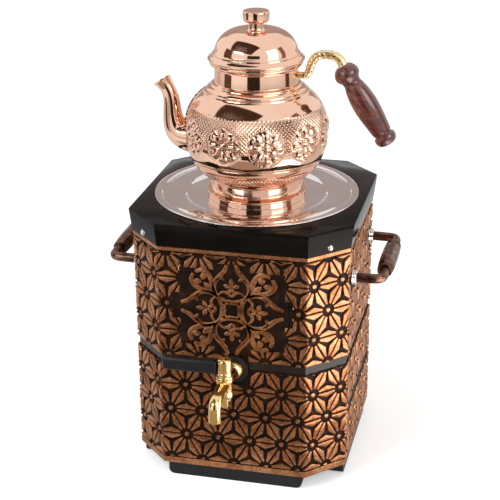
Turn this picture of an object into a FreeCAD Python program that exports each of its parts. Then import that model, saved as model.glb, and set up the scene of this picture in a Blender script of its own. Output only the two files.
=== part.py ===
import FreeCAD, Part, Sketcher
import math
import os

Vector = FreeCAD.Vector
Rotation = FreeCAD.Rotation

# Driving dimensions in millimetres, with angles in degrees
SIZES = {
    "front_flat": 140.0, "corner_leg": 33.25, "casing_wall": 1.2, "hem_width": 20.0,
    "foot_height": 14.0, "lower_height": 110.7, "band_height": 8.4, "upper_height": 111.9,
    "band_recess": 0.6, "band_tongue": 5.0,
    "star_count": 24.0, "star_gap": 7.0, "land_apex": 4.4, "land_height": 0.7, "land_least": 8.0,
    "land_margin": 0.6, "lower_star_rise": 7.0, "upper_star_rise": 0.3, "land_bottom_edge": 7.6, "land_top_edge": 5.8,
    "collar_height": 22.7, "collar_flare": 4.1, "skirt_wall": 1.4, "collar_plate": 2.0,
    "collar_lap": 13.0, "collar_screw_rise": 5.5, "collar_screw_shank": 1.5, "collar_screw_head": 3.2,
    "foot_length": 134.0, "foot_depth": 21.0, "foot_setback": 1.5, "foot_rounding": 6.0,
    "foot_screw_shank": 2.0, "foot_screw_head": 3.8, "foot_screw_spacing": 90.0, "pan_thickness": 1.5,
    "tank_gap": 11.05, "tank_wall": 1.0, "tank_sump": 13.0, "tank_flange": 5.5,
    "lid_overhang": 8.4, "lid_rim_width": 7.0, "lid_rim_height": 1.6, "lid_plate": 1.0,
    "lid_slope_width": 23.0, "lid_well_depth": 2.6, "lid_plug_depth": 9.0, "steam_hole": 30.0,
    "slide_gap": 0.7, "screw_gap": 0.1, "running_gap": 0.08, "trim_gap": 0.2,
    "tap_side": 2.0, "tap_rise": 1.3, "tap_reach": 40.0, "shank_radius": 6.0, "tap_bore": 3.6,
    "barrel_radius": 8.0, "barrel_height": 20.0, "plug_radius": 5.4, "hub_radius": 6.6, "hub_height": 20.0,
    "plug_stub_radius": 3.6, "plug_stub_length": 10.5, "plug_nut_radius": 5.8, "plug_nut_height": 2.6,
    "spout_radius": 5.7, "spout_forward": 37.0, "spout_drop": 20.0, "spout_bend": 15.0,
    "lever_length": 52.0, "lever_height": 13.0, "lever_depth": 9.0, "lever_rounding": 3.0, "lever_pin": 1.5,
    "washer_radius": 13.5, "washer_thickness": 3.0, "dome_radius": 9.0, "dome_length": 7.0,
    "seal_radius": 11.0, "seal_thickness": 2.0, "seal_setback": 1.4, "tap_nut_radius": 10.0, "tap_nut_thickness": 4.0,
    "element_radius": 55.0, "element_tube": 4.0, "element_rise": 16.0, "element_leg_spread": 14.0,
    "element_tail": 14.0, "element_nut_radius": 8.0, "element_nut_height": 4.0, "element_seal_height": 1.5,
    "thermostat_radius": 15.0, "thermostat_height": 11.0, "thermostat_offset": 40.0,
    "inlet_width": 28.0, "inlet_height": 22.0, "inlet_depth": 20.0, "inlet_bezel": 4.0,
    "inlet_rise": 42.0, "inlet_offset": 22.0, "bezel_thickness": 2.0, "inlet_wall": 2.0, "inlet_pin": 2.0,
    "rocker_width": 13.0, "rocker_height": 19.0, "rocker_depth": 8.0, "rocker_proud": 2.4, "rocker_tilt": 10.0,
    "lead_radius": 1.8,
    "vent_length": 124.0, "vent_height": 10.5, "vent_rise": 57.0, "vent_depth": 4.0, "vent_slots": 12.0,
    "vent_slot_width": 5.0, "vent_bar": 2.0,
    "handle_rise": 75.0, "handle_spread": 54.0, "handle_reach": 28.0, "handle_bar": 4.6, "handle_bend": 15.0,
    "grip_length": 66.0, "grip_radius": 8.2, "grip_waist": 6.8, "ferrule_radius": 7.4, "ferrule_length": 5.0,
    "handle_nut_radius": 8.0, "handle_nut_height": 4.0, "handle_tail": 6.0,
    "medallion_width": 106.0, "medallion_height": 92.0, "medallion_plate": 0.6, "medallion_relief": 1.6,
    "medallion_rise": 53.5, "medallion_petal": 19.0, "medallion_petal_offset": 26.0, "medallion_boss": 12.0,
    "pot_foot_radius": 47.6, "pot_foot_height": 7.0, "pot_waist_radius": 42.3, "pot_waist_height": 10.5,
    "belly_radius": 66.4, "belly_lower": 43.0, "belly_upper": 43.4, "shoulder_radius": 50.0,
    "neck_radius": 39.6, "neck_step": 9.8, "neck_height": 14.8, "pot_rim_radius": 44.3, "pot_rim_height": 5.5,
    "pot_wall": 1.2, "belly_sag_lower": 8.2, "belly_sag_upper": 7.5,
    "cover_radius": 45.9, "cover_edge": 2.6, "dome_foot_radius": 40.8, "dome_foot_height": 6.5,
    "dome_height": 18.0, "dome_sag": 7.6, "cover_wall": 1.1, "cover_ring_depth": 6.0,
    "knob_neck_radius": 7.6, "knob_neck_height": 8.0, "knob_radius": 12.4, "knob_height": 10.8,
    "knob_screw_shank": 1.6, "knob_screw_head": 3.4,
    "pour_root_rise": 56.0, "pour_root_radius": 15.5, "pour_elbow_radius": 11.8, "pour_neck_radius": 7.6,
    "pour_tip_radius": 6.2, "pour_elbow_reach": 79.0, "pour_tip_reach": 93.5, "pour_tip_rise": 108.0,
    "pour_neck_rise": 86.0, "pour_wall": 1.1, "pour_hole": 1.4,
    "arm_radius": 4.2, "arm_top_rise": 139.0, "arm_drop": 19.0, "arm_reach": 81.5,
    "wood_length": 86.0, "wood_radius": 12.0, "wood_neck": 8.4, "wood_tail": 9.2, "wood_end": 10.4,
    "wood_drop": 7.5, "wood_tilt": 147.5,
}

doc = FreeCAD.newDocument("samovar")
sheet = doc.addObject("Spreadsheet::Sheet", "sizes")
for row, (alias, number) in enumerate(SIZES.items(), 1):
    sheet.set(f"A{row}", alias)
    sheet.set(f"B{row}", str(number))
    sheet.setAlias(f"B{row}", alias)
doc.recompute()

TAN_EIGHTH = math.tan(math.pi / 8)
SPARE = 2.0  # how far a cutting tool runs past the face that it opens


# A number that remembers the sheet expression it came from
class Size:
    def __init__(self, value, text):
        self.value = float(value)
        self.text = text

    def __add__(self, other):
        return Size(self.value + number_of(other), f"({self.text} + {text_of(other)})")

    def __radd__(self, other):
        return Size(number_of(other) + self.value, f"({text_of(other)} + {self.text})")

    def __sub__(self, other):
        return Size(self.value - number_of(other), f"({self.text} - {text_of(other)})")

    def __rsub__(self, other):
        return Size(number_of(other) - self.value, f"({text_of(other)} - {self.text})")

    def __mul__(self, other):
        return Size(self.value * number_of(other), f"({self.text} * {text_of(other)})")

    def __rmul__(self, other):
        return self * other

    def __truediv__(self, other):
        return Size(self.value / number_of(other), f"({self.text} / {text_of(other)})")

    def __neg__(self):
        return Size(-self.value, f"(0 - {self.text})")


def number_of(entry):
    return entry.value if isinstance(entry, Size) else float(entry)


def text_of(entry):
    return entry.text if isinstance(entry, Size) else f"({entry:.9g})"


class Table:
    def __getattr__(self, alias):
        return Size(sheet.get(alias), f"sizes.{alias}")


S = Table()
NODES = []


# Heights and reaches that several pieces share
class Level:
    casing_base = S.foot_height
    band_low = casing_base + S.lower_height
    band_high = band_low + S.band_height
    casing_visible = band_high + S.upper_height
    casing_top = casing_visible + S.collar_lap
    collar_top = casing_visible + S.collar_height
    collar_under = collar_top - S.collar_plate
    lid_top = collar_top + S.lid_rim_height
    well_floor = collar_top - S.lid_well_depth
    handle = band_high + S.handle_rise
    vent = casing_base + S.vent_rise
    inlet = casing_base + S.inlet_rise
    medallion = band_high + S.medallion_rise
    pan = casing_base + S.casing_wall
    pan_top = pan + S.pan_thickness
    tap = band_low + S.tap_rise
    tank_floor = tap - S.tank_sump
    hub = tap + S.barrel_height / 2 + S.trim_gap
    element = tank_floor + S.tank_wall + S.element_rise
    cover = (well_floor + S.pot_foot_height + S.pot_waist_height + S.belly_lower + S.belly_upper
             + S.neck_step + S.neck_height + S.pot_rim_height)
    knob = cover + S.cover_edge + S.dome_foot_height + S.dome_height


HALF_FLAT = S.front_flat / 2
FACE = HALF_FLAT + S.corner_leg
TAP_FRONT = FACE + S.tap_reach
TANK_RADIUS = FACE - S.casing_wall - S.tank_gap


def named(obj, label, node=False):
    obj.Label = label
    if node:
        NODES.append(obj)
    return obj


def place(obj, x=0, y=0, z=0, rotation=None):
    base = Vector(number_of(x), number_of(y), number_of(z))
    obj.Placement = FreeCAD.Placement(base, rotation or Rotation())
    for axis, entry in (("x", x), ("y", y), ("z", z)):
        if isinstance(entry, Size):
            obj.setExpression(f"Placement.Base.{axis}", entry.text)
    return obj


def bind(obj, **props):
    for prop, entry in props.items():
        setattr(obj, prop, number_of(entry))
        if isinstance(entry, Size):
            obj.setExpression(prop, entry.text)
    return obj


ALONG = {"x": Rotation(Vector(0, 1, 0), 90), "y": Rotation(Vector(1, 0, 0), -90), "z": Rotation()}


def cylinder(label, radius, height, x=0, y=0, z=0, axis="z", node=False):
    obj = doc.addObject("Part::Cylinder", label)
    bind(obj, Radius=radius, Height=height)
    return named(place(obj, x, y, z, ALONG[axis]), label, node)


def box(label, length, width, height, x=0, y=0, z=0, node=False):
    obj = doc.addObject("Part::Box", label)
    bind(obj, Length=length, Width=width, Height=height)
    return named(place(obj, x, y, z), label, node)


def middle_box(label, length, width, height, x=0, y=0, z=0, node=False):
    return box(label, length, width, height, x - length / 2, y - width / 2, z - height / 2, node)


def prism(label, radius, height, x=0, y=0, z=0, axis="z", node=False):
    obj = doc.addObject("Part::Prism", label)
    obj.Polygon = 6
    bind(obj, Circumradius=radius, Height=height)
    return named(place(obj, x, y, z, ALONG[axis]), label, node)


def fuse(label, pieces, node=False):
    obj = doc.addObject("Part::MultiFuse", label)
    obj.Shapes = pieces
    return named(obj, label, node)


def cut(label, base, tools, node=False):
    obj = doc.addObject("Part::Cut", label)
    obj.Base = base
    obj.Tool = tools[0] if len(tools) == 1 else fuse(label + "_tools", tools)
    return named(obj, label, node)


def group(label, pieces):
    obj = doc.addObject("Part::Compound", label)
    obj.Links = pieces
    return named(obj, label, True)


def solid(label, shape, node=False):
    obj = doc.addObject("Part::Feature", label)
    obj.Shape = shape
    return named(obj, label, node)


def sketch_in(body, role, name, lift=0):
    sketch = body.newObject("Sketcher::SketchObject", name)
    plane = [item for item in body.Origin.OriginFeatures if item.Role == role][0]
    sketch.AttachmentSupport = [(plane, "")]
    sketch.MapMode = "FlatFace"
    sketch.AttachmentOffset = FreeCAD.Placement(Vector(0, 0, number_of(lift)), Rotation())
    if isinstance(lift, Size):
        sketch.setExpression("AttachmentOffset.Base.z", lift.text)
    return sketch


def constrain(sketch, kind, refs, entry):
    index = sketch.addConstraint(sketch_constraint(kind, refs, number_of(entry)))
    if isinstance(entry, Size):
        sketch.setExpression(f"Constraints[{index}]", entry.text)


def sketch_constraint(kind, refs, value):
    return Sketcher.Constraint(kind, *refs, value)


# A closed outline: each corner is (across, up), or (across, up, sag) where the side that
# arrives there is an arc, whose sag is positive when it bulges to the left of its way
def draw(sketch, corners):
    first = sketch.GeometryCount
    ends = []
    for index, corner in enumerate(corners):
        before = corners[index - 1]
        start = Vector(number_of(before[0]), number_of(before[1]), 0)
        end = Vector(number_of(corner[0]), number_of(corner[1]), 0)
        if len(corner) == 2:
            sketch.addGeometry(Part.LineSegment(start, end), False)
            ends.append((1, 2))
            continue
        sag = number_of(corner[2])
        chord = end - start
        left = Vector(-chord.y, chord.x, 0).normalize()
        radius = chord.Length ** 2 / (8 * abs(sag)) + abs(sag) / 2
        side = -1 if sag > 0 else 1
        centre = (start + end) * 0.5 + left * (side * (radius - abs(sag)))
        opening, closing = (end, start) if sag > 0 else (start, end)
        angles = [math.atan2(point.y - centre.y, point.x - centre.x) for point in (opening, closing)]
        if angles[1] < angles[0]:
            angles[1] += 2 * math.pi
        circle = Part.Circle(centre, Vector(0, 0, 1), radius)
        sketch.addGeometry(Part.ArcOfCircle(circle, angles[0], angles[1]), False)
        ends.append((2, 1) if sag > 0 else (1, 2))
    count = len(corners)
    for index in range(count):
        after = (index + 1) % count
        refs = (first + index, ends[index][1], first + after, ends[after][0])
        sketch.addConstraint(Sketcher.Constraint("Coincident", *refs))
    for index, corner in enumerate(corners):
        point = (first + index, ends[index][1])
        for axis, kind, entry in ((-2, "DistanceX", corner[0]), (-1, "DistanceY", corner[1])):
            if isinstance(entry, Size):
                constrain(sketch, kind, (-1, 1, *point), entry)
            else:
                sketch.addConstraint(Sketcher.Constraint("PointOnObject", *point, axis))
        if len(corner) == 3:
            before = corners[index - 1]
            across = corner[0] - before[0]
            up = corner[1] - before[1]
            sag = corner[2] if number_of(corner[2]) > 0 else -corner[2]
            radius = (across * across + up * up) / (8 * sag) + sag / 2
            constrain(sketch, "Radius", (first + index,), radius)


def circle_in(sketch, radius, x=0, y=0):
    centre = Vector(number_of(x), number_of(y), 0)
    index = sketch.addGeometry(Part.Circle(centre, Vector(0, 0, 1), number_of(radius)), False)
    constrain(sketch, "Radius", (index,), radius)
    for axis, kind, entry in ((-2, "DistanceX", x), (-1, "DistanceY", y)):
        if isinstance(entry, Size):
            constrain(sketch, kind, (-1, 1, index, 3), entry)
        else:
            sketch.addConstraint(Sketcher.Constraint("PointOnObject", index, 3, axis))


def revolved(label, corners, node=False):
    body = named(doc.addObject("PartDesign::Body", label), label, node)
    sketch = sketch_in(body, "XZ_Plane", label + "_profile")
    draw(sketch, corners)
    turned = body.newObject("PartDesign::Revolution", label + "_turned")
    turned.Profile = sketch
    turned.ReferenceAxis = (sketch, ["V_Axis"])
    turned.Angle = 360.0
    body.Tip = turned
    return body


def padded(label, outlines, low, height, node=False, circles=()):
    body = named(doc.addObject("PartDesign::Body", label), label, node)
    sketch = sketch_in(body, "XY_Plane", label + "_outline", low)
    for outline in outlines:
        draw(sketch, outline)
    for radius in circles:
        circle_in(sketch, radius)
    pad = body.newObject("PartDesign::Pad", label + "_pad")
    pad.Profile = sketch
    bind(pad, Length=height)
    body.Tip = pad
    return body


# The eight corners of the casing's plan, moved inwards by inset
def octagon(inset=0):
    near = HALF_FLAT - inset * TAN_EIGHTH
    far = FACE - inset
    return [(near, -far), (far, -near), (far, near), (near, far),
            (-near, far), (-far, near), (-far, -near), (-near, -far)]


# A round bar along straight runs, with tangent arcs of one radius at the bends
def bar_shape(points, radius, bend):
    stops = [Vector(*[number_of(entry) for entry in point]) for point in points]
    bend = number_of(bend)
    edges = []
    here = stops[0]
    for index in range(1, len(stops) - 1):
        corner = stops[index]
        back = (stops[index - 1] - corner).normalize()
        ahead = (stops[index + 1] - corner).normalize()
        half = back.getAngle(ahead) / 2
        reach = bend / math.tan(half)
        enter = corner + back * reach
        leave = corner + ahead * reach
        bisector = (back + ahead).normalize()
        middle = corner + bisector * (bend / math.sin(half) - bend)
        edges.append(Part.LineSegment(here, enter).toShape())
        edges.append(Part.Arc(enter, middle, leave).toShape())
        here = leave
    edges.append(Part.LineSegment(here, stops[-1]).toShape())
    path = Part.Wire(edges)
    heading = (stops[1] - stops[0]).normalize()
    ring = Part.Wire(Part.Circle(stops[0], heading, number_of(radius)).toShape())
    return path.makePipeShell([ring], True, True)


def bar(label, points, radius, bend, node=False):
    return solid(label, bar_shape(points, radius, bend), node)


# Four places, one on each corner face of the casing, as the turn about the upright axis
CORNER_TURNS = (45, 135, 225, 315)
CORNER_FACE = (HALF_FLAT + FACE) / math.sqrt(2)


def turned_about_axis(obj, reach, z, degrees, tilt):
    spin = Rotation(Vector(0, 0, 1), degrees).multiply(tilt)
    way = Vector(math.cos(math.radians(degrees)), math.sin(math.radians(degrees)), 0)
    return place(obj, reach * way.x, reach * way.y, z, spin)


def corner_rod(label, radius, inner, outer, degrees):
    obj = doc.addObject("Part::Cylinder", label)
    bind(obj, Radius=radius, Height=outer - inner)
    height = Level.casing_visible + S.collar_screw_rise
    return named(turned_about_axis(obj, inner, height, degrees, ALONG["x"]), label)


def tap_rod(label, radius, near, far, node=False):
    return cylinder(label, radius, far - near, S.tap_side, -far, Level.tap, "y", node)


def handle_spots():
    return [(side, end) for side in (-1, 1) for end in (-1, 1)]


def cross_rod(label, radius, inner, outer, side, y, z, shape=cylinder):
    start = inner if side > 0 else -outer
    return shape(label, radius, outer - inner, start, y, z, "x")


def foot_spots():
    reach = FACE - S.foot_setback - S.foot_depth / 2
    spots = []
    for along in (-S.foot_screw_spacing / 2, S.foot_screw_spacing / 2):
        spots += [(along, -reach), (along, reach), (-reach, along), (reach, along)]
    return spots


# Embossing: each side of a triangle between three stars carries a raised land. A place on it is
# (run, height), and run goes round the eight sides from the left end of the front one
def wall_sides():
    flat, leg, face = number_of(S.front_flat), number_of(S.corner_leg), number_of(FACE)
    slant = leg * math.sqrt(2)
    sides = []
    run = 0.0
    for turn in range(8):
        width = slant if turn % 2 else flat
        reach = number_of(CORNER_FACE) if turn % 2 else face
        sides.append((run, run + width, reach, turn * 45))
        run += width
    return sides


# What is left of a convex outline where across * run + up * height stays below a limit
def clipped(outline, across, up, limit):
    kept = []
    for index, (run, height) in enumerate(outline):
        last_run, last_height = outline[index - 1]
        here = limit - across * run - up * height
        last = limit - across * last_run - up * last_height
        if here * last < 0:
            share = last / (last - here)
            kept.append((last_run + (run - last_run) * share, last_height + (height - last_height) * share))
        if here >= 0:
            kept.append((run, height))
    return kept


def inside_box(outline, left, right, bottom, top):
    return clipped(clipped(clipped(clipped(outline, -1, 0, -left), 1, 0, right), 0, -1, -bottom), 0, 1, top)


# The parts of an outline that lie round a window and clear of it
def round_window(outline, window):
    left, right, bottom, top = window
    if not inside_box(outline, *window):
        return [outline]
    middle = clipped(clipped(outline, -1, 0, -left), 1, 0, right)
    return [clipped(outline, 1, 0, left), clipped(outline, -1, 0, -right),
            clipped(middle, 0, 1, bottom), clipped(middle, 0, -1, -top)]


def area_of(outline):
    doubled = sum(outline[index - 1][0] * outline[index][1] - outline[index][0] * outline[index - 1][1]
                  for index in range(len(outline)))
    return abs(doubled) / 2


# One land: a flat triangle between the stars a and b and the middle of their own triangle
def land_between(a, b, middle):
    along = (b - a).normalize()
    inward = (middle - (a + b) * 0.5).normalize()
    tips = [star + (way + (middle - star).normalize()).normalize() * number_of(S.star_gap)
            for star, way in ((a, along), (b, -along))]
    apex = middle - inward * number_of(S.land_apex)
    return [(corner.x, corner.y) for corner in (*tips, apex)]


def star_lands(low, high, first_row):
    total = wall_sides()[-1][1]
    pitch = total / number_of(S.star_count)
    rise = pitch * math.sqrt(3) / 2
    start = number_of(HALF_FLAT)
    lands = []
    for row in range(-1, math.ceil((high - first_row) / rise)):
        shift = row % 2 / 2
        for column in range(-3, round(number_of(S.star_count)) + 1):
            left = Vector(start + (column + shift) * pitch, first_row + row * rise, 0)
            right = left + Vector(pitch, 0, 0)
            above = left + Vector(pitch / 2, rise, 0)
            for triangle in ((left, right, above), (right, above + Vector(pitch, 0, 0), above)):
                middle = (triangle[0] + triangle[1] + triangle[2]) / 3
                for index in range(3):
                    lands.append(land_between(triangle[index - 1], triangle[index], middle))
    return lands


def embossing(label, low, high, first_row, windows):
    low, high, first_row = number_of(low), number_of(high), number_of(first_row)
    margin, height = number_of(S.land_margin), number_of(S.land_height)
    lands = star_lands(low, high, first_row)
    solids = []
    for start, end, reach, turn in wall_sides():
        middle = (start + end) / 2
        pieces = [inside_box(land, start + margin, end - margin, low, high) for land in lands]
        for window in windows:
            pieces = [part for piece in pieces for part in round_window(piece, window)]
        for piece in pieces:
            if area_of(piece) < number_of(S.land_least):
                continue
            points = [Vector(run - middle, -reach + margin, up) for run, up in piece]
            face = Part.Face(Part.makePolygon(points + points[:1]))
            land = face.extrude(Vector(0, -height - margin, 0))
            land.rotate(Vector(), Vector(0, 0, 1), turn)
            solids.append(land)
    return solid(label, Part.makeCompound(solids))


# A window round a place on a side, from the side's number and the place across it
def window_at(side, across, up, half_width, half_height):
    start, end, _, _ = wall_sides()[side]
    middle = (start + end) / 2 + number_of(across)
    half_width, half_height = number_of(half_width), number_of(half_height)
    return middle - half_width, middle + half_width, number_of(up) - half_height, number_of(up) + half_height


def casings():
    shell = padded("lower_shell", [octagon(), octagon(S.casing_wall)], Level.casing_base, S.lower_height)
    hem = padded("lower_hem", [octagon(), octagon(S.casing_wall + S.hem_width)], Level.casing_base, S.casing_wall)
    tools = [cylinder(f"foot_hole_{number}", S.foot_screw_shank + S.screw_gap, S.casing_wall + 2 * SPARE,
                      x, y, Level.casing_base - SPARE) for number, (x, y) in enumerate(foot_spots())]
    for side in (-1, 1):
        tools.append(middle_box(f"vent_opening_{side + 1}", 4 * S.vent_depth, S.vent_length, S.vent_height,
                                side * FACE, 0, Level.vent))
    tools.append(middle_box("inlet_opening", S.inlet_width, 4 * SPARE, S.inlet_height,
                            -S.inlet_offset, FACE, Level.inlet))
    tools.append(middle_box("switch_opening", S.inlet_width, 4 * SPARE, S.inlet_height,
                            S.inlet_offset, FACE, Level.inlet))
    tools.append(tap_rod("tap_hole_lower", S.shank_radius + S.trim_gap, FACE - 4 * SPARE, FACE + SPARE))
    washer = window_at(0, S.tap_side, Level.tap, S.washer_radius + S.land_margin, S.washer_radius + S.land_margin)
    windows = [washer]
    for side in (2, 6):
        windows.append(window_at(side, 0, Level.vent, S.vent_length / 2 + S.land_margin, S.vent_height))
    for offset in (-S.inlet_offset, S.inlet_offset):
        windows.append(window_at(4, offset, Level.inlet, S.inlet_width / 2 + 2 * S.inlet_bezel, S.inlet_height))
    lands = embossing("lower_lands", Level.casing_base + S.land_bottom_edge, Level.band_low - S.land_margin,
                      Level.casing_base + S.lower_star_rise, windows)
    fuse("lower_casing", [cut("lower_casing_plain", fuse("lower_casing_blank", [shell, hem]), tools), lands], True)

    upper = padded("upper_shell", [octagon(), octagon(S.casing_wall)], Level.band_high,
                   S.upper_height + S.collar_lap)
    tools = [tap_rod("tap_hole_upper", S.shank_radius + S.trim_gap, FACE - 4 * SPARE, FACE + SPARE)]
    for turn in CORNER_TURNS:
        tools.append(corner_rod(f"collar_hole_{turn}", S.collar_screw_shank + S.screw_gap,
                                CORNER_FACE - 4 * SPARE, CORNER_FACE + SPARE, turn))
    for side, end in handle_spots():
        tools.append(cross_rod(f"handle_hole_{side + 1}_{end + 1}", S.handle_bar + S.screw_gap,
                               FACE - 4 * SPARE, FACE + SPARE, side, end * S.handle_spread, Level.handle))
    windows = [washer, window_at(0, 0, Level.medallion, S.medallion_width / 2 + S.land_margin,
                                 S.medallion_height / 2 + S.land_margin)]
    for side in (2, 6):
        for end in (-1, 1):
            windows.append(window_at(side, end * S.handle_spread, Level.handle,
                                     S.ferrule_radius + S.land_margin, S.ferrule_radius + S.land_margin))
    lands = embossing("upper_lands", Level.band_high + S.land_margin, Level.casing_visible - S.land_top_edge,
                      Level.band_high + S.upper_star_rise, windows)
    fuse("upper_casing", [cut("upper_casing_plain", upper, tools), lands], True)

    outer = padded("band_face", [octagon(S.band_recess), octagon(S.casing_wall)], Level.band_low, S.band_height)
    tongue = padded("band_inner", [octagon(S.casing_wall), octagon(2 * S.casing_wall)],
                    Level.band_low - S.band_tongue, S.band_height + 2 * S.band_tongue)
    hole = tap_rod("tap_hole_band", S.shank_radius + S.trim_gap, FACE - 4 * SPARE, FACE + SPARE)
    cut("seam_band", fuse("seam_band_blank", [outer, tongue]), [hole], True)


def medallion():
    plate = box("medallion_panel", S.medallion_width, S.medallion_plate, S.medallion_height,
                -S.medallion_width / 2, -FACE - S.medallion_plate, Level.medallion - S.medallion_height / 2)
    front = -FACE - S.medallion_plate - S.medallion_relief
    pieces = [plate]
    for across, up in ((-1, 0), (1, 0), (0, -1), (0, 1)):
        pieces.append(cylinder(f"medallion_petal_{across}_{up}", S.medallion_petal,
                               S.medallion_relief + S.medallion_plate, across * S.medallion_petal_offset,
                               front, Level.medallion + up * S.medallion_petal_offset, "y"))
    pieces.append(middle_box("medallion_centre", S.medallion_boss, S.medallion_relief, S.medallion_boss,
                             0, front + S.medallion_relief / 2, Level.medallion))
    fuse("front_medallion", pieces, True)


def collar():
    body = named(doc.addObject("PartDesign::Body", "collar_moulding"), "collar_moulding")
    low = sketch_in(body, "XY_Plane", "collar_low", Level.casing_visible)
    draw(low, octagon(-S.skirt_wall))
    high = sketch_in(body, "XY_Plane", "collar_high", Level.collar_top)
    draw(high, octagon(-S.collar_flare))
    flare = body.newObject("PartDesign::AdditiveLoft", "collar_flared")
    flare.Profile = low
    flare.Sections = [high]
    inside = sketch_in(body, "XY_Plane", "collar_inside", Level.collar_under)
    draw(inside, octagon())
    hollow = body.newObject("PartDesign::Pocket", "collar_hollow")
    hollow.Profile = inside
    bind(hollow, Length=S.collar_height + SPARE)
    mouth = sketch_in(body, "XY_Plane", "collar_mouth", Level.collar_top)
    circle_in(mouth, TANK_RADIUS)
    opening = body.newObject("PartDesign::Pocket", "collar_opening")
    opening.Profile = mouth
    bind(opening, Length=S.collar_plate + SPARE)
    body.Tip = opening
    tools = [corner_rod(f"skirt_hole_{turn}", S.collar_screw_shank + S.screw_gap,
                        CORNER_FACE - SPARE, CORNER_FACE + 4 * SPARE, turn) for turn in CORNER_TURNS]
    cut("top_collar", body, tools, True)
    share = S.collar_screw_rise / S.collar_height
    seat = CORNER_FACE + S.skirt_wall + (S.collar_flare - S.skirt_wall) * share
    screws = []
    for turn in CORNER_TURNS:
        shank = corner_rod(f"screw_shank_{turn}", S.collar_screw_shank, CORNER_FACE - 2 * SPARE, seat + SPARE, turn)
        head = doc.addObject("Part::Sphere", f"screw_head_{turn}")
        bind(head, Radius=S.collar_screw_head)
        turned_about_axis(head, seat + S.collar_screw_head / 8, Level.casing_visible + S.collar_screw_rise, turn, ALONG["x"])
        head.Angle1 = 0
        screws.append(fuse(f"screw_{turn}", [shank, head]))
    group("collar_screws", screws)


def base():
    plate = padded("pan_blank", [octagon(S.casing_wall + S.trim_gap)], Level.pan, S.pan_thickness)
    holes = [cylinder(f"pan_hole_{number}", S.foot_screw_shank + S.screw_gap, S.pan_thickness + 2 * SPARE,
                      x, y, Level.pan - SPARE) for number, (x, y) in enumerate(foot_spots())]
    cut("base_pan", plate, holes, True)
    reach = FACE - S.foot_setback - S.foot_depth / 2
    feet = (("front_foot", 0, -reach, 0), ("rear_foot", 0, reach, 0), ("left_foot", -reach, 0, 90),
            ("right_foot", reach, 0, 90))
    for label, x, y, turn in feet:
        half = S.foot_length / 2
        body = named(doc.addObject("PartDesign::Body", label + "_bar"), label + "_bar")
        profile = sketch_in(body, "XZ_Plane", label + "_profile")
        curve = S.foot_rounding
        sag = -curve * (1 - math.sqrt(0.5))
        draw(profile, [(-half, S.foot_height), (-half, curve), (curve - half, 0, sag),
                       (half - curve, 0), (half, curve, sag), (half, S.foot_height)])
        pad = body.newObject("PartDesign::Pad", label + "_pad")
        pad.Profile = profile
        pad.Midplane = True
        bind(pad, Length=S.foot_depth)
        body.Tip = pad
        place(body, x, y, 0, Rotation(Vector(0, 0, 1), turn))
        tools = []
        for number, along in enumerate((-S.foot_screw_spacing / 2, S.foot_screw_spacing / 2)):
            spot = (along, y) if turn == 0 else (x, along)
            tools.append(cylinder(f"{label}_bore_{number}", S.foot_screw_shank + S.screw_gap,
                                  S.foot_height + 2 * SPARE, spot[0], spot[1], -SPARE))
            tools.append(cylinder(f"{label}_recess_{number}", S.foot_screw_head + S.trim_gap,
                                  S.foot_height / 2, spot[0], spot[1], 0))
        cut(label, body, tools, True)
    screws = []
    for number, (x, y) in enumerate(foot_spots()):
        head = cylinder(f"foot_head_{number}", S.foot_screw_head, S.foot_height / 4, x, y, S.foot_height / 4)
        shank = cylinder(f"foot_shank_{number}", S.foot_screw_shank,
                         Level.pan_top + S.pan_thickness - S.foot_height / 4, x, y, S.foot_height / 4)
        screws.append(fuse(f"foot_screw_{number}", [head, shank]))
    group("foot_screws", screws)


def tank():
    inner = TANK_RADIUS
    flange = inner + S.tank_flange
    outer = inner + S.tank_wall
    floor = Level.tank_floor
    body = revolved("tank_blank", [
        (0, floor), (outer, floor), (outer, Level.collar_under - S.tank_wall),
        (flange, Level.collar_under - S.tank_wall), (flange, Level.collar_under),
        (inner, Level.collar_under), (inner, floor + S.tank_wall), (0, floor + S.tank_wall)])
    tools = [tap_rod("tank_tap_hole", S.shank_radius + S.trim_gap, inner - 4 * SPARE, outer + SPARE)]
    for side in (-1, 1):
        tools.append(cylinder(f"element_hole_{side + 1}", S.element_tube + S.trim_gap, S.tank_wall + 2 * SPARE,
                              side * S.element_leg_spread, S.element_radius, floor - SPARE))
    cut("water_tank", body, tools, True)


def lid():
    top = Level.collar_top
    rim = (TANK_RADIUS + S.lid_overhang)
    ledge = rim - S.lid_rim_width
    plug = TANK_RADIUS - S.slide_gap
    plate = S.lid_plate
    floor = Level.well_floor
    well = TANK_RADIUS - S.lid_slope_width
    revolved("lid_disc", [
        (S.steam_hole, floor - plate), (well, floor - plate), (well + 2 * plate, top - plate),
        (plug - plate, top - plate), (plug - plate, top - S.lid_plug_depth), (plug, top - S.lid_plug_depth),
        (plug, top), (rim, top), (rim, top + S.lid_rim_height * 0.6),
        (rim - S.lid_rim_width * 0.3, Level.lid_top), (ledge, Level.lid_top), (ledge - plate, top + plate * 0.3),
        (well + plate, top), (well - plate, floor), (S.steam_hole, floor)], True)


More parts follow.
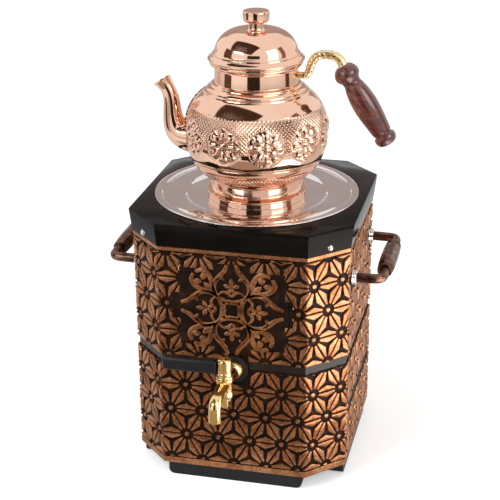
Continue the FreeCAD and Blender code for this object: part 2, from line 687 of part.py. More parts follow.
def tap():
    axis_y = -TAP_FRONT
    x = S.tap_side
    z = Level.tap
    inside = TANK_RADIUS
    shank = tap_rod("tap_shank", S.shank_radius, inside - S.seal_thickness - S.tap_nut_thickness - SPARE, TAP_FRONT)
    dome = tap_rod("tap_dome", S.dome_radius, FACE + S.washer_thickness, FACE + S.washer_thickness + S.dome_length)
    barrel = cylinder("tap_barrel", S.barrel_radius, S.barrel_height, x, axis_y, z - S.barrel_height / 2)
    spout_z = z + S.barrel_height / 2 - S.spout_radius
    end = axis_y - S.spout_forward
    route = [(x, axis_y, spout_z), (x, end, spout_z), (x, end, spout_z - S.spout_drop)]
    spout = bar("tap_spout", route, S.spout_radius, S.spout_bend)
    blank = fuse("tap_blank", [shank, dome, barrel, spout])
    bore = tap_rod("tap_bore_run", S.tap_bore, inside - 8 * SPARE, TAP_FRONT)
    throat = [(x, axis_y, spout_z), (x, end, spout_z), (x, end, spout_z - S.spout_drop - SPARE)]
    mouth = bar("tap_mouth", throat, S.tap_bore, S.spout_bend)
    seat = cylinder("tap_seat", S.plug_radius + S.running_gap, S.barrel_height + 2 * SPARE, x, axis_y,
                    z - S.barrel_height / 2 - SPARE)
    cut("tap_body", blank, [bore, mouth, seat], True)

    foot = z - S.barrel_height / 2
    plug = revolved("plug_blank", [
        (0, foot - S.plug_stub_length), (S.plug_stub_radius, foot - S.plug_stub_length),
        (S.plug_stub_radius, foot), (S.plug_radius, foot), (S.plug_radius, Level.hub),
        (S.hub_radius + S.trim_gap * 5, Level.hub), (S.hub_radius + S.trim_gap * 5, Level.hub + S.hub_height / 6),
        (S.hub_radius, Level.hub + S.hub_height / 6), (S.hub_radius, Level.hub + S.hub_height),
        (0, Level.hub + S.hub_height)])
    place(plug, x, axis_y, 0)
    lever_z = Level.hub + S.hub_height / 2
    cross = cylinder("plug_port", S.tap_bore, 2 * S.plug_radius + 2 * SPARE, x - S.plug_radius - SPARE, axis_y,
                     z, "x")
    slot = middle_box("plug_lever_socket", S.hub_radius * 2, S.lever_depth / 2, S.lever_height / 2,
                      x - S.hub_radius, axis_y, lever_z)
    pin_hole = cylinder("plug_pin_hole", S.lever_pin + S.screw_gap, S.hub_radius * 2 + 2 * SPARE,
                        x - S.hub_radius / 2, axis_y - S.hub_radius - SPARE, lever_z, "y")
    cut("tap_plug", plug, [cross, slot, pin_hole], True)

    start = x - S.hub_radius - S.trim_gap
    grip = middle_box("lever_blank", S.lever_length, S.lever_depth, S.lever_height,
                      start - S.lever_length / 2, axis_y, lever_z)
    rounded = doc.addObject("Part::Fillet", "lever_rounded")
    rounded.Base = grip
    doc.recompute()
    rounding = number_of(S.lever_rounding)
    rounded.Edges = [(number + 1, rounding, rounding) for number in range(len(grip.Shape.Edges))]
    tang = middle_box("lever_tang", S.hub_radius * 2, S.lever_depth / 2 - 2 * S.screw_gap,
                      S.lever_height / 2 - 2 * S.screw_gap, start, axis_y, lever_z)
    hole = cylinder("lever_pin_hole", S.lever_pin + S.screw_gap, S.lever_depth + 2 * SPARE,
                    x - S.hub_radius / 2, axis_y - S.lever_depth / 2 - SPARE, lever_z, "y")
    cut("tap_lever", fuse("lever_body", [rounded, tang]), [hole], True)
    cylinder("lever_pin", S.lever_pin, S.hub_radius * 1.6, x - S.hub_radius / 2, axis_y - S.hub_radius * 0.8,
             lever_z, "y", True)
    nut = prism("plug_nut_blank", S.plug_nut_radius, S.plug_nut_height, x, axis_y,
                foot - S.plug_nut_height - S.trim_gap)
    nut_bore = cylinder("plug_nut_bore", S.plug_stub_radius, S.plug_nut_height + 2 * SPARE, x, axis_y,
                        foot - S.plug_nut_height - SPARE)
    cut("plug_nut", nut, [nut_bore], True)

    washer = tap_rod("washer_blank", S.washer_radius, FACE, FACE + S.washer_thickness)
    cut("tap_washer", washer, [tap_rod("washer_bore", S.shank_radius + S.screw_gap, FACE - SPARE,
                                       FACE + S.washer_thickness + SPARE)], True)
    seal_face = inside - S.seal_setback
    seal = tap_rod("seal_blank", S.seal_radius, seal_face - S.seal_thickness, inside + SPARE)
    wall = cylinder("seal_wall_space", inside + S.tank_wall + 4 * SPARE, TANK_RADIUS, 0, 0,
                    Level.tap - TANK_RADIUS / 2)
    hollow = cylinder("seal_hollow", inside, TANK_RADIUS, 0, 0, Level.tap - TANK_RADIUS / 2)
    outside = cut("seal_outside", wall, [hollow])
    bore = tap_rod("seal_bore", S.shank_radius + S.screw_gap, seal_face - 4 * SPARE, inside + 2 * SPARE)
    cut("tap_seal", seal, [outside, bore], True)
    nut_face = seal_face - S.seal_thickness
    nut = prism("tap_nut_blank", S.tap_nut_radius, S.tap_nut_thickness, x, -nut_face, z, "y")
    cut("tap_nut", nut, [tap_rod("tap_nut_bore", S.shank_radius, nut_face - 4 * SPARE, nut_face + SPARE)], True)


def heating():
    spread = S.element_leg_spread
    rise = Level.element
    tail = Level.tank_floor - S.element_tail
    ring = S.element_radius
    route = [(spread, ring, tail), (spread, ring, rise), (ring, 0, rise), (0, -ring, rise), (-ring, 0, rise),
             (-spread, ring, rise), (-spread, ring, tail)]
    bar("heating_element", route, S.element_tube, 2 * S.element_tube, True)
    seals = []
    nuts = []
    for side in (-1, 1):
        x = side * spread
        seal = cylinder(f"element_seal_blank_{side + 1}", S.element_nut_radius, S.element_seal_height, x, ring,
                        Level.tank_floor - S.element_seal_height)
        bore = cylinder(f"element_seal_bore_{side + 1}", S.element_tube + S.screw_gap,
                        S.element_seal_height + 2 * SPARE, x, ring, Level.tank_floor - S.element_seal_height - SPARE)
        seals.append(cut(f"element_seal_{side + 1}", seal, [bore]))
        low = Level.tank_floor - S.element_seal_height - S.element_nut_height
        nut = prism(f"element_nut_blank_{side + 1}", S.element_nut_radius, S.element_nut_height, x, ring, low)
        bore = cylinder(f"element_nut_bore_{side + 1}", S.element_tube, S.element_nut_height + 2 * SPARE,
                        x, ring, low - SPARE)
        nuts.append(cut(f"element_nut_{side + 1}", nut, [bore]))
    group("element_seals", seals)
    group("element_nuts", nuts)
    cylinder("thermostat", S.thermostat_radius, S.thermostat_height, 0, -S.thermostat_offset,
             Level.tank_floor - S.thermostat_height, "z", True)


def electrics():
    back = FACE
    z = Level.inlet
    for label, x in (("power_inlet", -S.inlet_offset), ("switch_housing", S.inlet_offset)):
        bezel = middle_box(label + "_bezel", S.inlet_width + 2 * S.inlet_bezel, S.bezel_thickness,
                           S.inlet_height + 2 * S.inlet_bezel, x, back + S.bezel_thickness / 2, z)
        shell = box(label + "_shell", S.inlet_width - 2 * S.trim_gap, S.inlet_depth,
                    S.inlet_height - 2 * S.trim_gap, x - S.inlet_width / 2 + S.trim_gap,
                    back - S.inlet_depth, z - S.inlet_height / 2 + S.trim_gap)
        blank = fuse(label + "_blank", [bezel, shell])
        if label == "power_inlet":
            recess = box("inlet_recess", S.inlet_width - 2 * S.inlet_wall, S.inlet_depth - S.inlet_wall + SPARE * 2,
                         S.inlet_height - 2 * S.inlet_wall, x - S.inlet_width / 2 + S.inlet_wall,
                         back - S.inlet_depth + S.inlet_wall, z - S.inlet_height / 2 + S.inlet_wall)
            hollow = cut("inlet_hollow", blank, [recess])
            pins = [middle_box(f"inlet_pin_{number}", S.inlet_pin, S.inlet_depth * 0.7, S.inlet_pin * 2.5,
                               x + across * S.inlet_width / 4, back - S.inlet_depth * 0.6,
                               z + up * S.inlet_height / 8)
                    for number, (across, up) in enumerate(((-1, -1), (0, 1), (1, -1)))]
            fuse(label, [hollow] + pins, True)
        else:
            window = box("switch_window", S.rocker_width + 4 * S.trim_gap, S.rocker_depth + SPARE * 2,
                         S.rocker_height + 12 * S.trim_gap, x - S.rocker_width / 2 - 2 * S.trim_gap,
                         back + S.bezel_thickness - S.rocker_depth, z - S.rocker_height / 2 - 6 * S.trim_gap)
            cut(label, blank, [window], True)
    front = back + S.bezel_thickness
    rocker_y = front - S.rocker_depth / 3
    keel = cylinder("rocker_keel", S.rocker_depth / 3, S.rocker_width, S.inlet_offset - S.rocker_width / 2,
                    rocker_y, z, "x")
    half = S.rocker_height / 2
    body = named(doc.addObject("PartDesign::Body", "rocker_cap"), "rocker_cap")
    profile = sketch_in(body, "YZ_Plane", "rocker_profile")
    sag = S.rocker_proud / 2
    draw(profile, [(rocker_y, z - half), (front + S.rocker_proud, z - half),
                   (front + S.rocker_proud, z + half, sag), (rocker_y, z + half)])
    pad = body.newObject("PartDesign::Pad", "rocker_pad")
    pad.Profile = profile
    bind(pad, Length=S.rocker_width)
    body.Tip = pad
    place(body, S.inlet_offset - S.rocker_width / 2, 0, 0)
    rocker = fuse("rocker_switch", [body, keel], True)
    tilt = math.radians(number_of(S.rocker_tilt))
    place(rocker, 0, rocker_y * (1 - math.cos(tilt)) + z * math.sin(tilt),
          z * (1 - math.cos(tilt)) - rocker_y * math.sin(tilt), Rotation(Vector(1, 0, 0), number_of(S.rocker_tilt)))

    rear = back - S.inlet_depth
    leads = []
    for number, (start, leg) in enumerate(((-S.inlet_offset, -1), (S.inlet_offset, 1))):
        x_leg = leg * S.element_leg_spread
        drop = Level.tank_floor - S.element_tail
        route = [(start, rear, z), (start, rear - S.inlet_depth / 2, z), (x_leg, S.element_radius, z),
                 (x_leg, S.element_radius, drop)]
        leads.append(bar(f"lead_{number}", route, S.lead_radius, 3 * S.lead_radius))
    group("element_leads", leads)


def vents():
    for side, label in ((-1, "left_vent"), (1, "right_vent")):
        face = FACE if side > 0 else -FACE
        blank = middle_box(label + "_blank", S.vent_depth, S.vent_length - 2 * S.trim_gap,
                           S.vent_height - 2 * S.trim_gap, face - side * S.vent_depth / 2, 0, Level.vent)
        pitch = S.vent_length / S.vent_slots
        tools = []
        for number in range(int(number_of(S.vent_slots))):
            middle = pitch * (number + 0.5) - S.vent_length / 2
            tools.append(middle_box(f"{label}_slot_{number}", 4 * S.vent_depth, S.vent_slot_width,
                                    S.vent_height - 2 * S.vent_bar, face, middle, Level.vent))
        cut(label, blank, tools, True)


def side_handles():
    ferrules = []
    nuts = []
    reach = FACE + S.handle_reach
    z = Level.handle
    for side, word in ((-1, "left"), (1, "right")):
        end = S.handle_spread
        inner = side * (FACE - S.handle_tail)
        route = [(inner, -end, z), (side * reach, -end, z), (side * reach, end, z), (inner, end, z)]
        bar(f"{word}_handle_bow", route, S.handle_bar, S.handle_bend, True)
        half = S.grip_length / 2
        bead = S.grip_length / 14
        hole = S.handle_bar + S.screw_gap
        grip = revolved(f"{word}_grip", [
            (hole, -half), (S.grip_waist, -half), (S.grip_waist, bead - half), (S.grip_radius, bead - half),
            (S.grip_radius, 2 * bead - half), (S.grip_waist, 2 * bead - half), (S.grip_waist, 3 * bead - half),
            (S.grip_radius, 4 * bead - half), (S.grip_radius, half - 4 * bead), (S.grip_waist, half - 3 * bead),
            (S.grip_waist, half - 2 * bead), (S.grip_radius, half - 2 * bead), (S.grip_radius, half - bead),
            (S.grip_waist, half - bead), (S.grip_waist, half), (hole, half)], True)
        place(grip, side * reach, 0, z, ALONG["y"])
    for side, end in handle_spots():
        y = end * S.handle_spread
        name = f"{side + 1}_{end + 1}"
        ring = cross_rod(f"ferrule_blank_{name}", S.ferrule_radius, FACE, FACE + S.ferrule_length, side, y, z)
        bore = cross_rod(f"ferrule_bore_{name}", S.handle_bar + S.screw_gap, FACE - SPARE,
                         FACE + S.ferrule_length + SPARE, side, y, z)
        ferrules.append(cut(f"ferrule_{name}", ring, [bore]))
        back = FACE - S.casing_wall
        nut = cross_rod(f"handle_nut_blank_{name}", S.handle_nut_radius, back - S.handle_nut_height, back,
                        side, y, z, prism)
        bore = cross_rod(f"handle_nut_bore_{name}", S.handle_bar, back - S.handle_nut_height - SPARE,
                         back + SPARE, side, y, z)
        nuts.append(cut(f"handle_nut_{name}", nut, [bore]))
    group("handle_ferrules", ferrules)
    group("handle_nuts", nuts)


# Heights up the teapot, from the floor of the lid's well
class Pot:
    foot = Level.well_floor
    waist = foot + S.pot_foot_height
    base = waist + S.pot_waist_height
    belly = base + S.belly_lower
    shoulder = belly + S.belly_upper
    neck = shoulder + S.neck_step
    rim = neck + S.neck_height
    top = rim + S.pot_rim_height


def pot_outline():
    wall = S.pot_wall
    return [
        (S.pot_waist_radius - wall, Pot.base), (S.pot_waist_radius - wall, Pot.waist - wall),
        (S.pot_foot_radius - wall, Pot.waist - 2 * wall), (S.pot_foot_radius - wall, Pot.foot),
        (S.pot_foot_radius, Pot.foot), (S.pot_foot_radius, Pot.waist - wall),
        (S.pot_foot_radius - 2 * wall, Pot.waist), (S.pot_waist_radius, Pot.waist + wall),
        (S.pot_waist_radius, Pot.base), (S.belly_radius, Pot.belly, -S.belly_sag_lower),
        (S.shoulder_radius, Pot.shoulder, -S.belly_sag_upper), (S.shoulder_radius - wall, Pot.shoulder + 2 * wall),
        (S.shoulder_radius - 3 * wall, Pot.shoulder + 3 * wall),
        (S.neck_radius + 2 * wall, Pot.neck - 2 * wall), (S.neck_radius, Pot.neck), (S.neck_radius, Pot.rim),
        (S.pot_rim_radius, Pot.rim + 2 * wall), (S.pot_rim_radius, Pot.top)]


def teapot():
    wall = S.pot_wall
    inner = [
        (S.neck_radius, Pot.top), (S.neck_radius - wall, Pot.top - wall), (S.neck_radius - wall, Pot.neck - wall),
        (S.shoulder_radius - wall, Pot.shoulder - wall), (S.belly_radius - wall, Pot.belly, S.belly_sag_upper),
        (S.pot_waist_radius - wall, Pot.base + wall, S.belly_sag_lower), (0, Pot.base + wall), (0, Pot.base)]
    shell = revolved("pot_shell", pot_outline() + inner)
    root = Pot.foot + S.pour_root_rise
    holes = []
    for number, (across, up) in enumerate(((0, 0), (1, 0), (-1, 0), (0, 1), (0, -1), (1, 1), (-1, -1))):
        pitch = 3 * S.pour_hole
        holes.append(cylinder(f"pour_hole_{number}", S.pour_hole, S.belly_radius / 3,
                              -S.belly_radius - SPARE, across * pitch, root + up * pitch, "x"))
    cut("teapot_body", shell, holes, True)


# The pouring spout tapers through rings that stand square to its curved middle line
def pour_rings(shrink):
    root = number_of(Pot.foot + S.pour_root_rise)
    elbow = -number_of(S.pour_elbow_reach)
    tip = -number_of(S.pour_tip_reach)
    neck_z = number_of(Pot.foot + S.pour_neck_rise)
    tip_z = number_of(Pot.foot + S.pour_tip_rise)
    waist = -number_of(S.belly_radius) + number_of(S.pour_root_radius)
    bend = (neck_z - root) / 2
    stations = [
        (Vector(waist, 0, root - 4 * SPARE), Vector(-1, 0, 0.1), S.pour_root_radius),
        (Vector((waist + elbow) / 2, 0, root - 3 * SPARE), Vector(-1, 0, 0.35), S.pour_elbow_radius + SPARE / 2),
        (Vector(elbow, 0, root + bend * 0.3), Vector(-0.45, 0, 1), S.pour_elbow_radius),
        (Vector(elbow - SPARE * 1.5, 0, (root + neck_z) / 2 + SPARE), Vector(0, 0, 1), S.pour_elbow_radius * 0.78),
        (Vector(elbow - SPARE * 2, 0, neck_z), Vector(-0.1, 0, 1), S.pour_neck_radius),
        (Vector(tip, 0, tip_z), Vector(-0.75, 0, 1), S.pour_tip_radius)]
    rings = []
    for centre, heading, radius in stations:
        circle = Part.Circle(centre, heading, number_of(radius) - shrink)
        rings.append(Part.Wire(circle.toShape()))
    return rings


def pour_spout():
    outer = Part.makeLoft(pour_rings(0), True)
    inner = Part.makeLoft(pour_rings(number_of(S.pour_wall)), True)
    corners = [(0, Pot.base)] + pot_outline()[8:]
    face = Part.Face(outline_wire(corners + [(0, Pot.top)]))
    core = face.revolve(Vector(0, 0, 0), Vector(0, 0, 1), 360)
    solid("teapot_spout", outer.cut(inner).cut(core).Solids[0], True)


def outline_wire(corners):
    edges = []
    for index, corner in enumerate(corners):
        before = corners[index - 1]
        start = Vector(number_of(before[0]), 0, number_of(before[1]))
        end = Vector(number_of(corner[0]), 0, number_of(corner[1]))
        if len(corner) == 2:
            edges.append(Part.LineSegment(start, end).toShape())
            continue
        chord = end - start
        left = Vector(-chord.z, 0, chord.x).normalize()
        middle = (start + end) * 0.5 + left * number_of(corner[2])
        edges.append(Part.Arc(start, middle, end).toShape())
    return Part.Wire(edges)


def teapot_handle():
    foot = S.cover_radius + S.slide_gap
    top = Pot.foot + S.arm_top_rise
    low = top - S.arm_drop
    start = top - S.wood_drop
    lean = math.radians(number_of(S.wood_tilt))
    tang = S.wood_length / 8
    route = [(foot + S.arm_radius, 0, low), (foot + S.arm_radius, 0, low + (top - low) * 0.7),
             (foot + 3 * S.arm_radius, 0, top), (S.arm_reach - S.arm_radius, 0, top),
             (S.arm_reach + tang * math.sin(lean), 0, start + tang * math.cos(lean))]
    rod = bar("arm_rod", route, S.arm_radius, S.arm_radius * 1.2)
    lug = box("arm_lug", foot + S.arm_radius - S.neck_radius, S.arm_radius * 1.6, S.arm_radius * 1.6,
              S.neck_radius, -S.arm_radius * 0.8, low)
    cut("teapot_handle_arm", fuse("arm_blank", [rod, lug]), [pot_space()], True)

    length = S.wood_length
    bulb = S.wood_radius
    waist = S.wood_neck
    wood = revolved("grip_blank", [
        (0, 0), (waist, 0), (bulb, length * 0.09, length * -0.02), (bulb, length * 0.13),
        (waist, length * 0.2), (waist, length * 0.25), (bulb, length * 0.46, length * -0.02),
        (S.wood_tail, length * 0.86, length * -0.02), (S.wood_tail * 0.9, length * 0.87),
        (S.wood_end, length * 0.9), (S.wood_end, length * 0.97), (S.wood_end * 0.6, length), (0, length)])
    place(wood, S.arm_reach, 0, start, Rotation(Vector(0, 1, 0), number_of(S.wood_tilt)))
    cut("teapot_grip", wood, [rod], True)


def pot_space():
    face = Part.Face(outline_wire([(0, Pot.base)] + pot_outline()[8:] + [(0, Pot.top)]))
    return solid("pot_space", face.revolve(Vector(0, 0, 0), Vector(0, 0, 1), 360))


def teapot_cover():
    z = Level.cover
    edge = z + S.cover_edge
    foot = edge + S.dome_foot_height
    crown = foot + S.dome_height
    wall = S.cover_wall
    ring = S.neck_radius - S.pot_wall - S.slide_gap
    neck = S.knob_neck_radius
    hole = S.knob_screw_shank + S.screw_gap
    revolved("teapot_lid", [
        (ring - wall, z - S.cover_ring_depth), (ring, z - S.cover_ring_depth), (ring, z),
        (S.cover_radius, z), (S.cover_radius, edge), (S.dome_foot_radius + wall, edge + 2 * wall),
        (S.dome_foot_radius, foot - wall), (S.dome_foot_radius - wall, foot),
        (neck, crown, -S.dome_sag), (hole, crown), (hole, crown - wall), (neck, crown - wall),
        (S.dome_foot_radius - 2.5 * wall, foot - wall, S.dome_sag), (ring - wall, foot - 2 * wall)], True)
    knob_top = crown + S.knob_neck_height + S.knob_height
    blind = crown + S.knob_neck_height
    cap = S.knob_radius
    revolved("lid_knob", [
        (hole, crown), (neck, crown), (neck * 0.92, blind), (cap * 0.8, blind), (cap, blind + S.knob_height * 0.2),
        (cap, knob_top - S.knob_height * 0.2), (cap * 0.92, knob_top), (0, knob_top), (0, blind), (hole, blind)], True)
    head = crown - wall
    shank = S.knob_screw_shank
    revolved("knob_screw", [
        (0, head - shank), (S.knob_screw_head, head - shank), (S.knob_screw_head, head), (shank, head),
        (shank, blind - S.trim_gap), (0, blind - S.trim_gap)], True)


casings()
medallion()
collar()
base()
tank()
lid()
tap()
heating()
electrics()
vents()
side_handles()
teapot()
pour_spout()
teapot_handle()
teapot_cover()
doc.recompute()

faults = [obj.Name for obj in doc.Objects if "Invalid" in obj.State or "Error" in obj.State]
for node in NODES:
    if node.Shape.isNull() or not node.Shape.isValid() or not node.Shape.Solids:
        faults.append(node.Label)
if faults:
    raise RuntimeError("failed objects: " + ", ".join(faults))

os.makedirs("parts", exist_ok=True)
for node in NODES:
    node.Shape.exportStep(f"parts/{node.Label}.step")
print(f"{len(NODES)} nodes written")
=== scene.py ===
import bpy
import bmesh
import math
from mathutils import Matrix, Vector


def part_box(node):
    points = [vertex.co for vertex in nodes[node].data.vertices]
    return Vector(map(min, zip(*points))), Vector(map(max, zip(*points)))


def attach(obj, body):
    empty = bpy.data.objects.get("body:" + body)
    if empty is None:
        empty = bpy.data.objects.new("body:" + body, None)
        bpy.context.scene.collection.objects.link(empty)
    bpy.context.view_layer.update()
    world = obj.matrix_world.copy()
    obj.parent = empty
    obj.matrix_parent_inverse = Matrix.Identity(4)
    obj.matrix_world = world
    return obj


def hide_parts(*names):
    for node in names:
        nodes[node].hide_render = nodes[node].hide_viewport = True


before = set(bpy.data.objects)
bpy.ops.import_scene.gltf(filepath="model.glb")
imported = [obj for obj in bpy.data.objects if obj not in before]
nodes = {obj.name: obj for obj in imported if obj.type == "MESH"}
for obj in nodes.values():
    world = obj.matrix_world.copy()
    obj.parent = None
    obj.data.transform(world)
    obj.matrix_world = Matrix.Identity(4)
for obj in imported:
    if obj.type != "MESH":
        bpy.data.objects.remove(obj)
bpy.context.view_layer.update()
mm = 0.001
print("frame loaded:", len(nodes), "nodes")


# Driving places read from the frame, in millimetres
def lowHigh(node):
    low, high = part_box(node)
    return low / mm, high / mm


def newObject(name, data):
    holder = bpy.data.objects.new(name, data)
    bpy.context.scene.collection.objects.link(holder)
    return holder


def facing(place, target, axis):
    turn = (Vector(target) - Vector(place)).to_track_quat(axis, "Y").to_matrix().to_4x4()
    return Matrix.Translation(place) @ turn


casingLow, casingHigh = lowHigh("lower_casing")
upperLow, upperHigh = lowHigh("upper_casing")
collarLow, collarHigh = lowHigh("top_collar")
bandLow = casingHigh.z
bandHigh = upperLow.z
face = casingHigh.x
cornerLeg = 33.25
halfFlat = face - cornerLeg
potFoot = lowHigh("teapot_body")[0].z
potTop = lowHigh("teapot_body")[1].z


# The camera stands where the photograph was taken from, in metres
camera = {
    "place": (0.2781, -1.2002, 0.7164), "target": (-0.020975, 0.057649, 0.179242),
    "roll": -0.381, "lens": 96.57, "sensor": 36.0, "near": 0.05, "far": 50.0,
}


def makeCamera():
    data = bpy.data.cameras.new("photoCamera")
    data.lens = camera["lens"]
    data.sensor_width = camera["sensor"]
    data.sensor_fit = "HORIZONTAL"
    data.clip_start = camera["near"]
    data.clip_end = camera["far"]
    holder = newObject("photoCamera", data)
    roll = Matrix.Rotation(math.radians(camera["roll"]), 4, "Z")
    holder.matrix_world = facing(camera["place"], camera["target"], "-Z") @ roll
    bpy.context.scene.camera = holder
    print("camera set")


# Material helpers
def newMaterial(name, **values):
    material = bpy.data.materials.new(name)
    material.use_nodes = True
    tree = material.node_tree
    shader = tree.nodes["Principled BSDF"]
    for socket, value in values.items():
        shader.inputs[socket.replace("_", " ")].default_value = value
    return material, tree, shader


def addNode(tree, kind, settings=None, **inputs):
    node = tree.nodes.new("ShaderNode" + kind)
    for key, value in (settings or {}).items():
        setattr(node, key, value)
    for socket, value in inputs.items():
        target = node.inputs[int(socket[1:])] if socket[0] == "i" and socket[1:].isdigit() \
            else node.inputs[socket.replace("_", " ")]
        if isinstance(value, bpy.types.NodeSocket):
            tree.links.new(value, target)
        else:
            target.default_value = value
    return node


def ramp(tree, factor, stops):
    node = addNode(tree, "ValToRGB", None, Fac=factor)
    elements = node.color_ramp.elements
    while len(elements) < len(stops):
        elements.new(0.5)
    for element, (place, colour) in zip(elements, stops):
        element.position = place
        element.color = (*colour, 1.0)
    return node.outputs["Color"]


def mathNode(tree, operation, first, second=0.5):
    return addNode(tree, "Math", {"operation": operation}, i0=first, i1=second).outputs[0]


def objectCoordinates(tree):
    return addNode(tree, "TexCoord").outputs["Object"]


def noiseField(tree, scale, detail=4.0, distortion=0.0):
    return addNode(tree, "TexNoise", None, Vector=objectCoordinates(tree), Scale=scale,
                   Detail=detail, Distortion=distortion).outputs["Fac"]


def bumpInto(tree, shader, height, strength, distance=0.001, before=None):
    settings = {"Height": height, "Strength": strength, "Distance": distance}
    if before is not None:
        settings["Normal"] = before
    bump = addNode(tree, "Bump", None, **settings)
    tree.links.new(bump.outputs["Normal"], shader.inputs["Normal"])
    return bump.outputs["Normal"]


def metalMaterial(name, colour, tint, rough, spread, grain=40.0, bump=0.05, dents=0.0):
    material, tree, shader = newMaterial(name, Metallic=1.0, Roughness=rough)
    cloud = noiseField(tree, grain)
    tree.links.new(ramp(tree, cloud, [(0.35, tint), (0.65, colour)]), shader.inputs["Base Color"])
    smear = noiseField(tree, grain * 2.7, 6.0)
    level = addNode(tree, "MapRange", None, Value=smear, From_Min=0.3, From_Max=0.7,
                    To_Min=max(rough - spread, 0.02), To_Max=rough + spread)
    tree.links.new(level.outputs["Result"], shader.inputs["Roughness"])
    scratches = noiseField(tree, grain * 40.0, 2.0)
    normal = bumpInto(tree, shader, scratches, bump, 0.0002)
    if dents:
        bumpInto(tree, shader, noiseField(tree, 220.0, 1.0), dents, 0.001, normal)
    return material


# Every finish on the samovar
finish = {
    "lightCopper": dict(colour=(0.91, 0.60, 0.45), tint=(0.84, 0.50, 0.35), rough=0.075, spread=0.025,
                        grain=14.0, bump=0.02),
    "stainless": dict(colour=(0.82, 0.77, 0.755), tint=(0.76, 0.70, 0.68), rough=0.07, spread=0.025,
                      grain=18.0, bump=0.03),
    "brass": dict(colour=(0.92, 0.70, 0.33), tint=(0.84, 0.58, 0.22), rough=0.13, spread=0.05, grain=60.0),
    "hammeredBrass": dict(colour=(0.95, 0.78, 0.50), tint=(0.84, 0.58, 0.26), rough=0.2, spread=0.07,
                          grain=120.0, bump=0.06, dents=0.6),
    "oldCopper": dict(colour=(0.26, 0.135, 0.095), tint=(0.035, 0.022, 0.018), rough=0.24, spread=0.1,
                      grain=90.0, bump=0.15, dents=0.3),
    "chrome": dict(colour=(0.88, 0.88, 0.9), tint=(0.80, 0.80, 0.83), rough=0.08, spread=0.03, grain=60.0,
                   bump=0.02),
    "steel": dict(colour=(0.55, 0.55, 0.56), tint=(0.45, 0.45, 0.46), rough=0.35, spread=0.1, grain=50.0,
                  bump=0.1),
}
gloss = {
    "enamel": dict(rough=0.14, colour=(0.003, 0.002, 0.0013), grain=900.0, bump=0.02, shine=0.09),
    "plastic": dict(rough=0.34, colour=(0.006, 0.006, 0.008), grain=1400.0, bump=0.12),
    "bandBlack": dict(rough=0.3, colour=(0.012, 0.008, 0.006), grain=500.0, bump=0.08),
    "silicone": dict(rough=0.55, colour=(0.20, 0.03, 0.02), grain=700.0, bump=0.1),
}


def landCopper():
    material, tree, shader = newMaterial("landCopper", Metallic=1.0, Roughness=0.34)
    cloud = noiseField(tree, 55.0, 6.0, 0.6)
    base = ramp(tree, cloud, [(0.25, (0.24, 0.095, 0.040)), (0.5, (0.48, 0.215, 0.100)),
                              (0.75, (0.66, 0.34, 0.18))])
    grime = noiseField(tree, 420.0, 3.0)
    stain = ramp(tree, grime, [(0.32, (0.25, 0.2, 0.17)), (0.55, (1.0, 1.0, 1.0))])
    mixed = addNode(tree, "Mix", {"data_type": "RGBA", "blend_type": "MULTIPLY"}, i0=0.6, i6=base, i7=stain)
    tree.links.new(mixed.outputs[2], shader.inputs["Base Color"])
    level = addNode(tree, "MapRange", None, Value=grime, From_Min=0.3, From_Max=0.7,
                    To_Min=0.26, To_Max=0.44)
    tree.links.new(level.outputs["Result"], shader.inputs["Roughness"])
    bumpInto(tree, shader, noiseField(tree, 300.0, 4.0), 0.25, 0.0006)
    return material


def darkPatina():
    material, tree, shader = newMaterial("darkPatina", Metallic=0.3, Roughness=0.5, Specular_IOR_Level=0.12)
    cloud = noiseField(tree, 70.0, 6.0, 0.4)
    base = ramp(tree, cloud, [(0.3, (0.009, 0.0045, 0.003)), (0.6, (0.022, 0.010, 0.006)),
                              (0.8, (0.060, 0.026, 0.013))])
    tree.links.new(base, shader.inputs["Base Color"])
    bumpInto(tree, shader, noiseField(tree, 500.0, 4.0), 0.3, 0.0005)
    return material


def glossBlack(name, colour, rough, grain, bump, shine=0.35):
    material, tree, shader = newMaterial(name, Roughness=rough, Specular_IOR_Level=shine)
    lighter = tuple(channel * 1.6 + 0.002 for channel in colour)
    base = ramp(tree, noiseField(tree, 25.0, 3.0), [(0.35, colour), (0.7, lighter)])
    tree.links.new(base, shader.inputs["Base Color"])
    bumpInto(tree, shader, noiseField(tree, grain, 2.0), bump, 0.0003)
    return material


def lacquerWood():
    material, tree, shader = newMaterial("lacquerWood", Roughness=0.3, Coat_Weight=0.9, Coat_Roughness=0.07)
    mapping = addNode(tree, "Mapping", None, Vector=objectCoordinates(tree),
                      Rotation=(0.0, math.radians(-57.5), 0.0), Scale=(14.0, 190.0, 190.0))
    grain = addNode(tree, "TexNoise", None, Vector=mapping.outputs["Vector"], Scale=1.6, Detail=6.0,
                    Distortion=0.8).outputs["Fac"]
    base = ramp(tree, grain, [(0.28, (0.030, 0.005, 0.003)), (0.5, (0.105, 0.016, 0.008)),
                              (0.72, (0.190, 0.036, 0.013))])
    tree.links.new(base, shader.inputs["Base Color"])
    bumpInto(tree, shader, grain, 0.12, 0.0004)
    return material


# Chased copper: the net between the rosettes is a fine crossing relief on the pot's own UV map
def chasedCopper():
    material = metalMaterial("chasedCopper", **finish["lightCopper"])
    tree = material.node_tree
    shader = tree.nodes["Principled BSDF"]
    plain = shader.inputs["Normal"].links[0].from_socket
    around = addNode(tree, "UVMap", {"uv_map": "around"}).outputs["UV"]
    split = addNode(tree, "SeparateXYZ", None, Vector=around)
    waves = []
    for kind in ("ADD", "SUBTRACT"):
        diagonal = mathNode(tree, kind, split.outputs["X"], split.outputs["Y"])
        wave = mathNode(tree, "SINE", mathNode(tree, "MULTIPLY", diagonal, net["pitch"]))
        waves.append(mathNode(tree, "ABSOLUTE", wave))
    weave = mathNode(tree, "MINIMUM", waves[0], waves[1])
    mask = addNode(tree, "Attribute", {"attribute_name": "net"}).outputs["Fac"]
    bumpInto(tree, shader, mathNode(tree, "MULTIPLY", weave, mask), 1.0, net["depth"], plain)
    return material


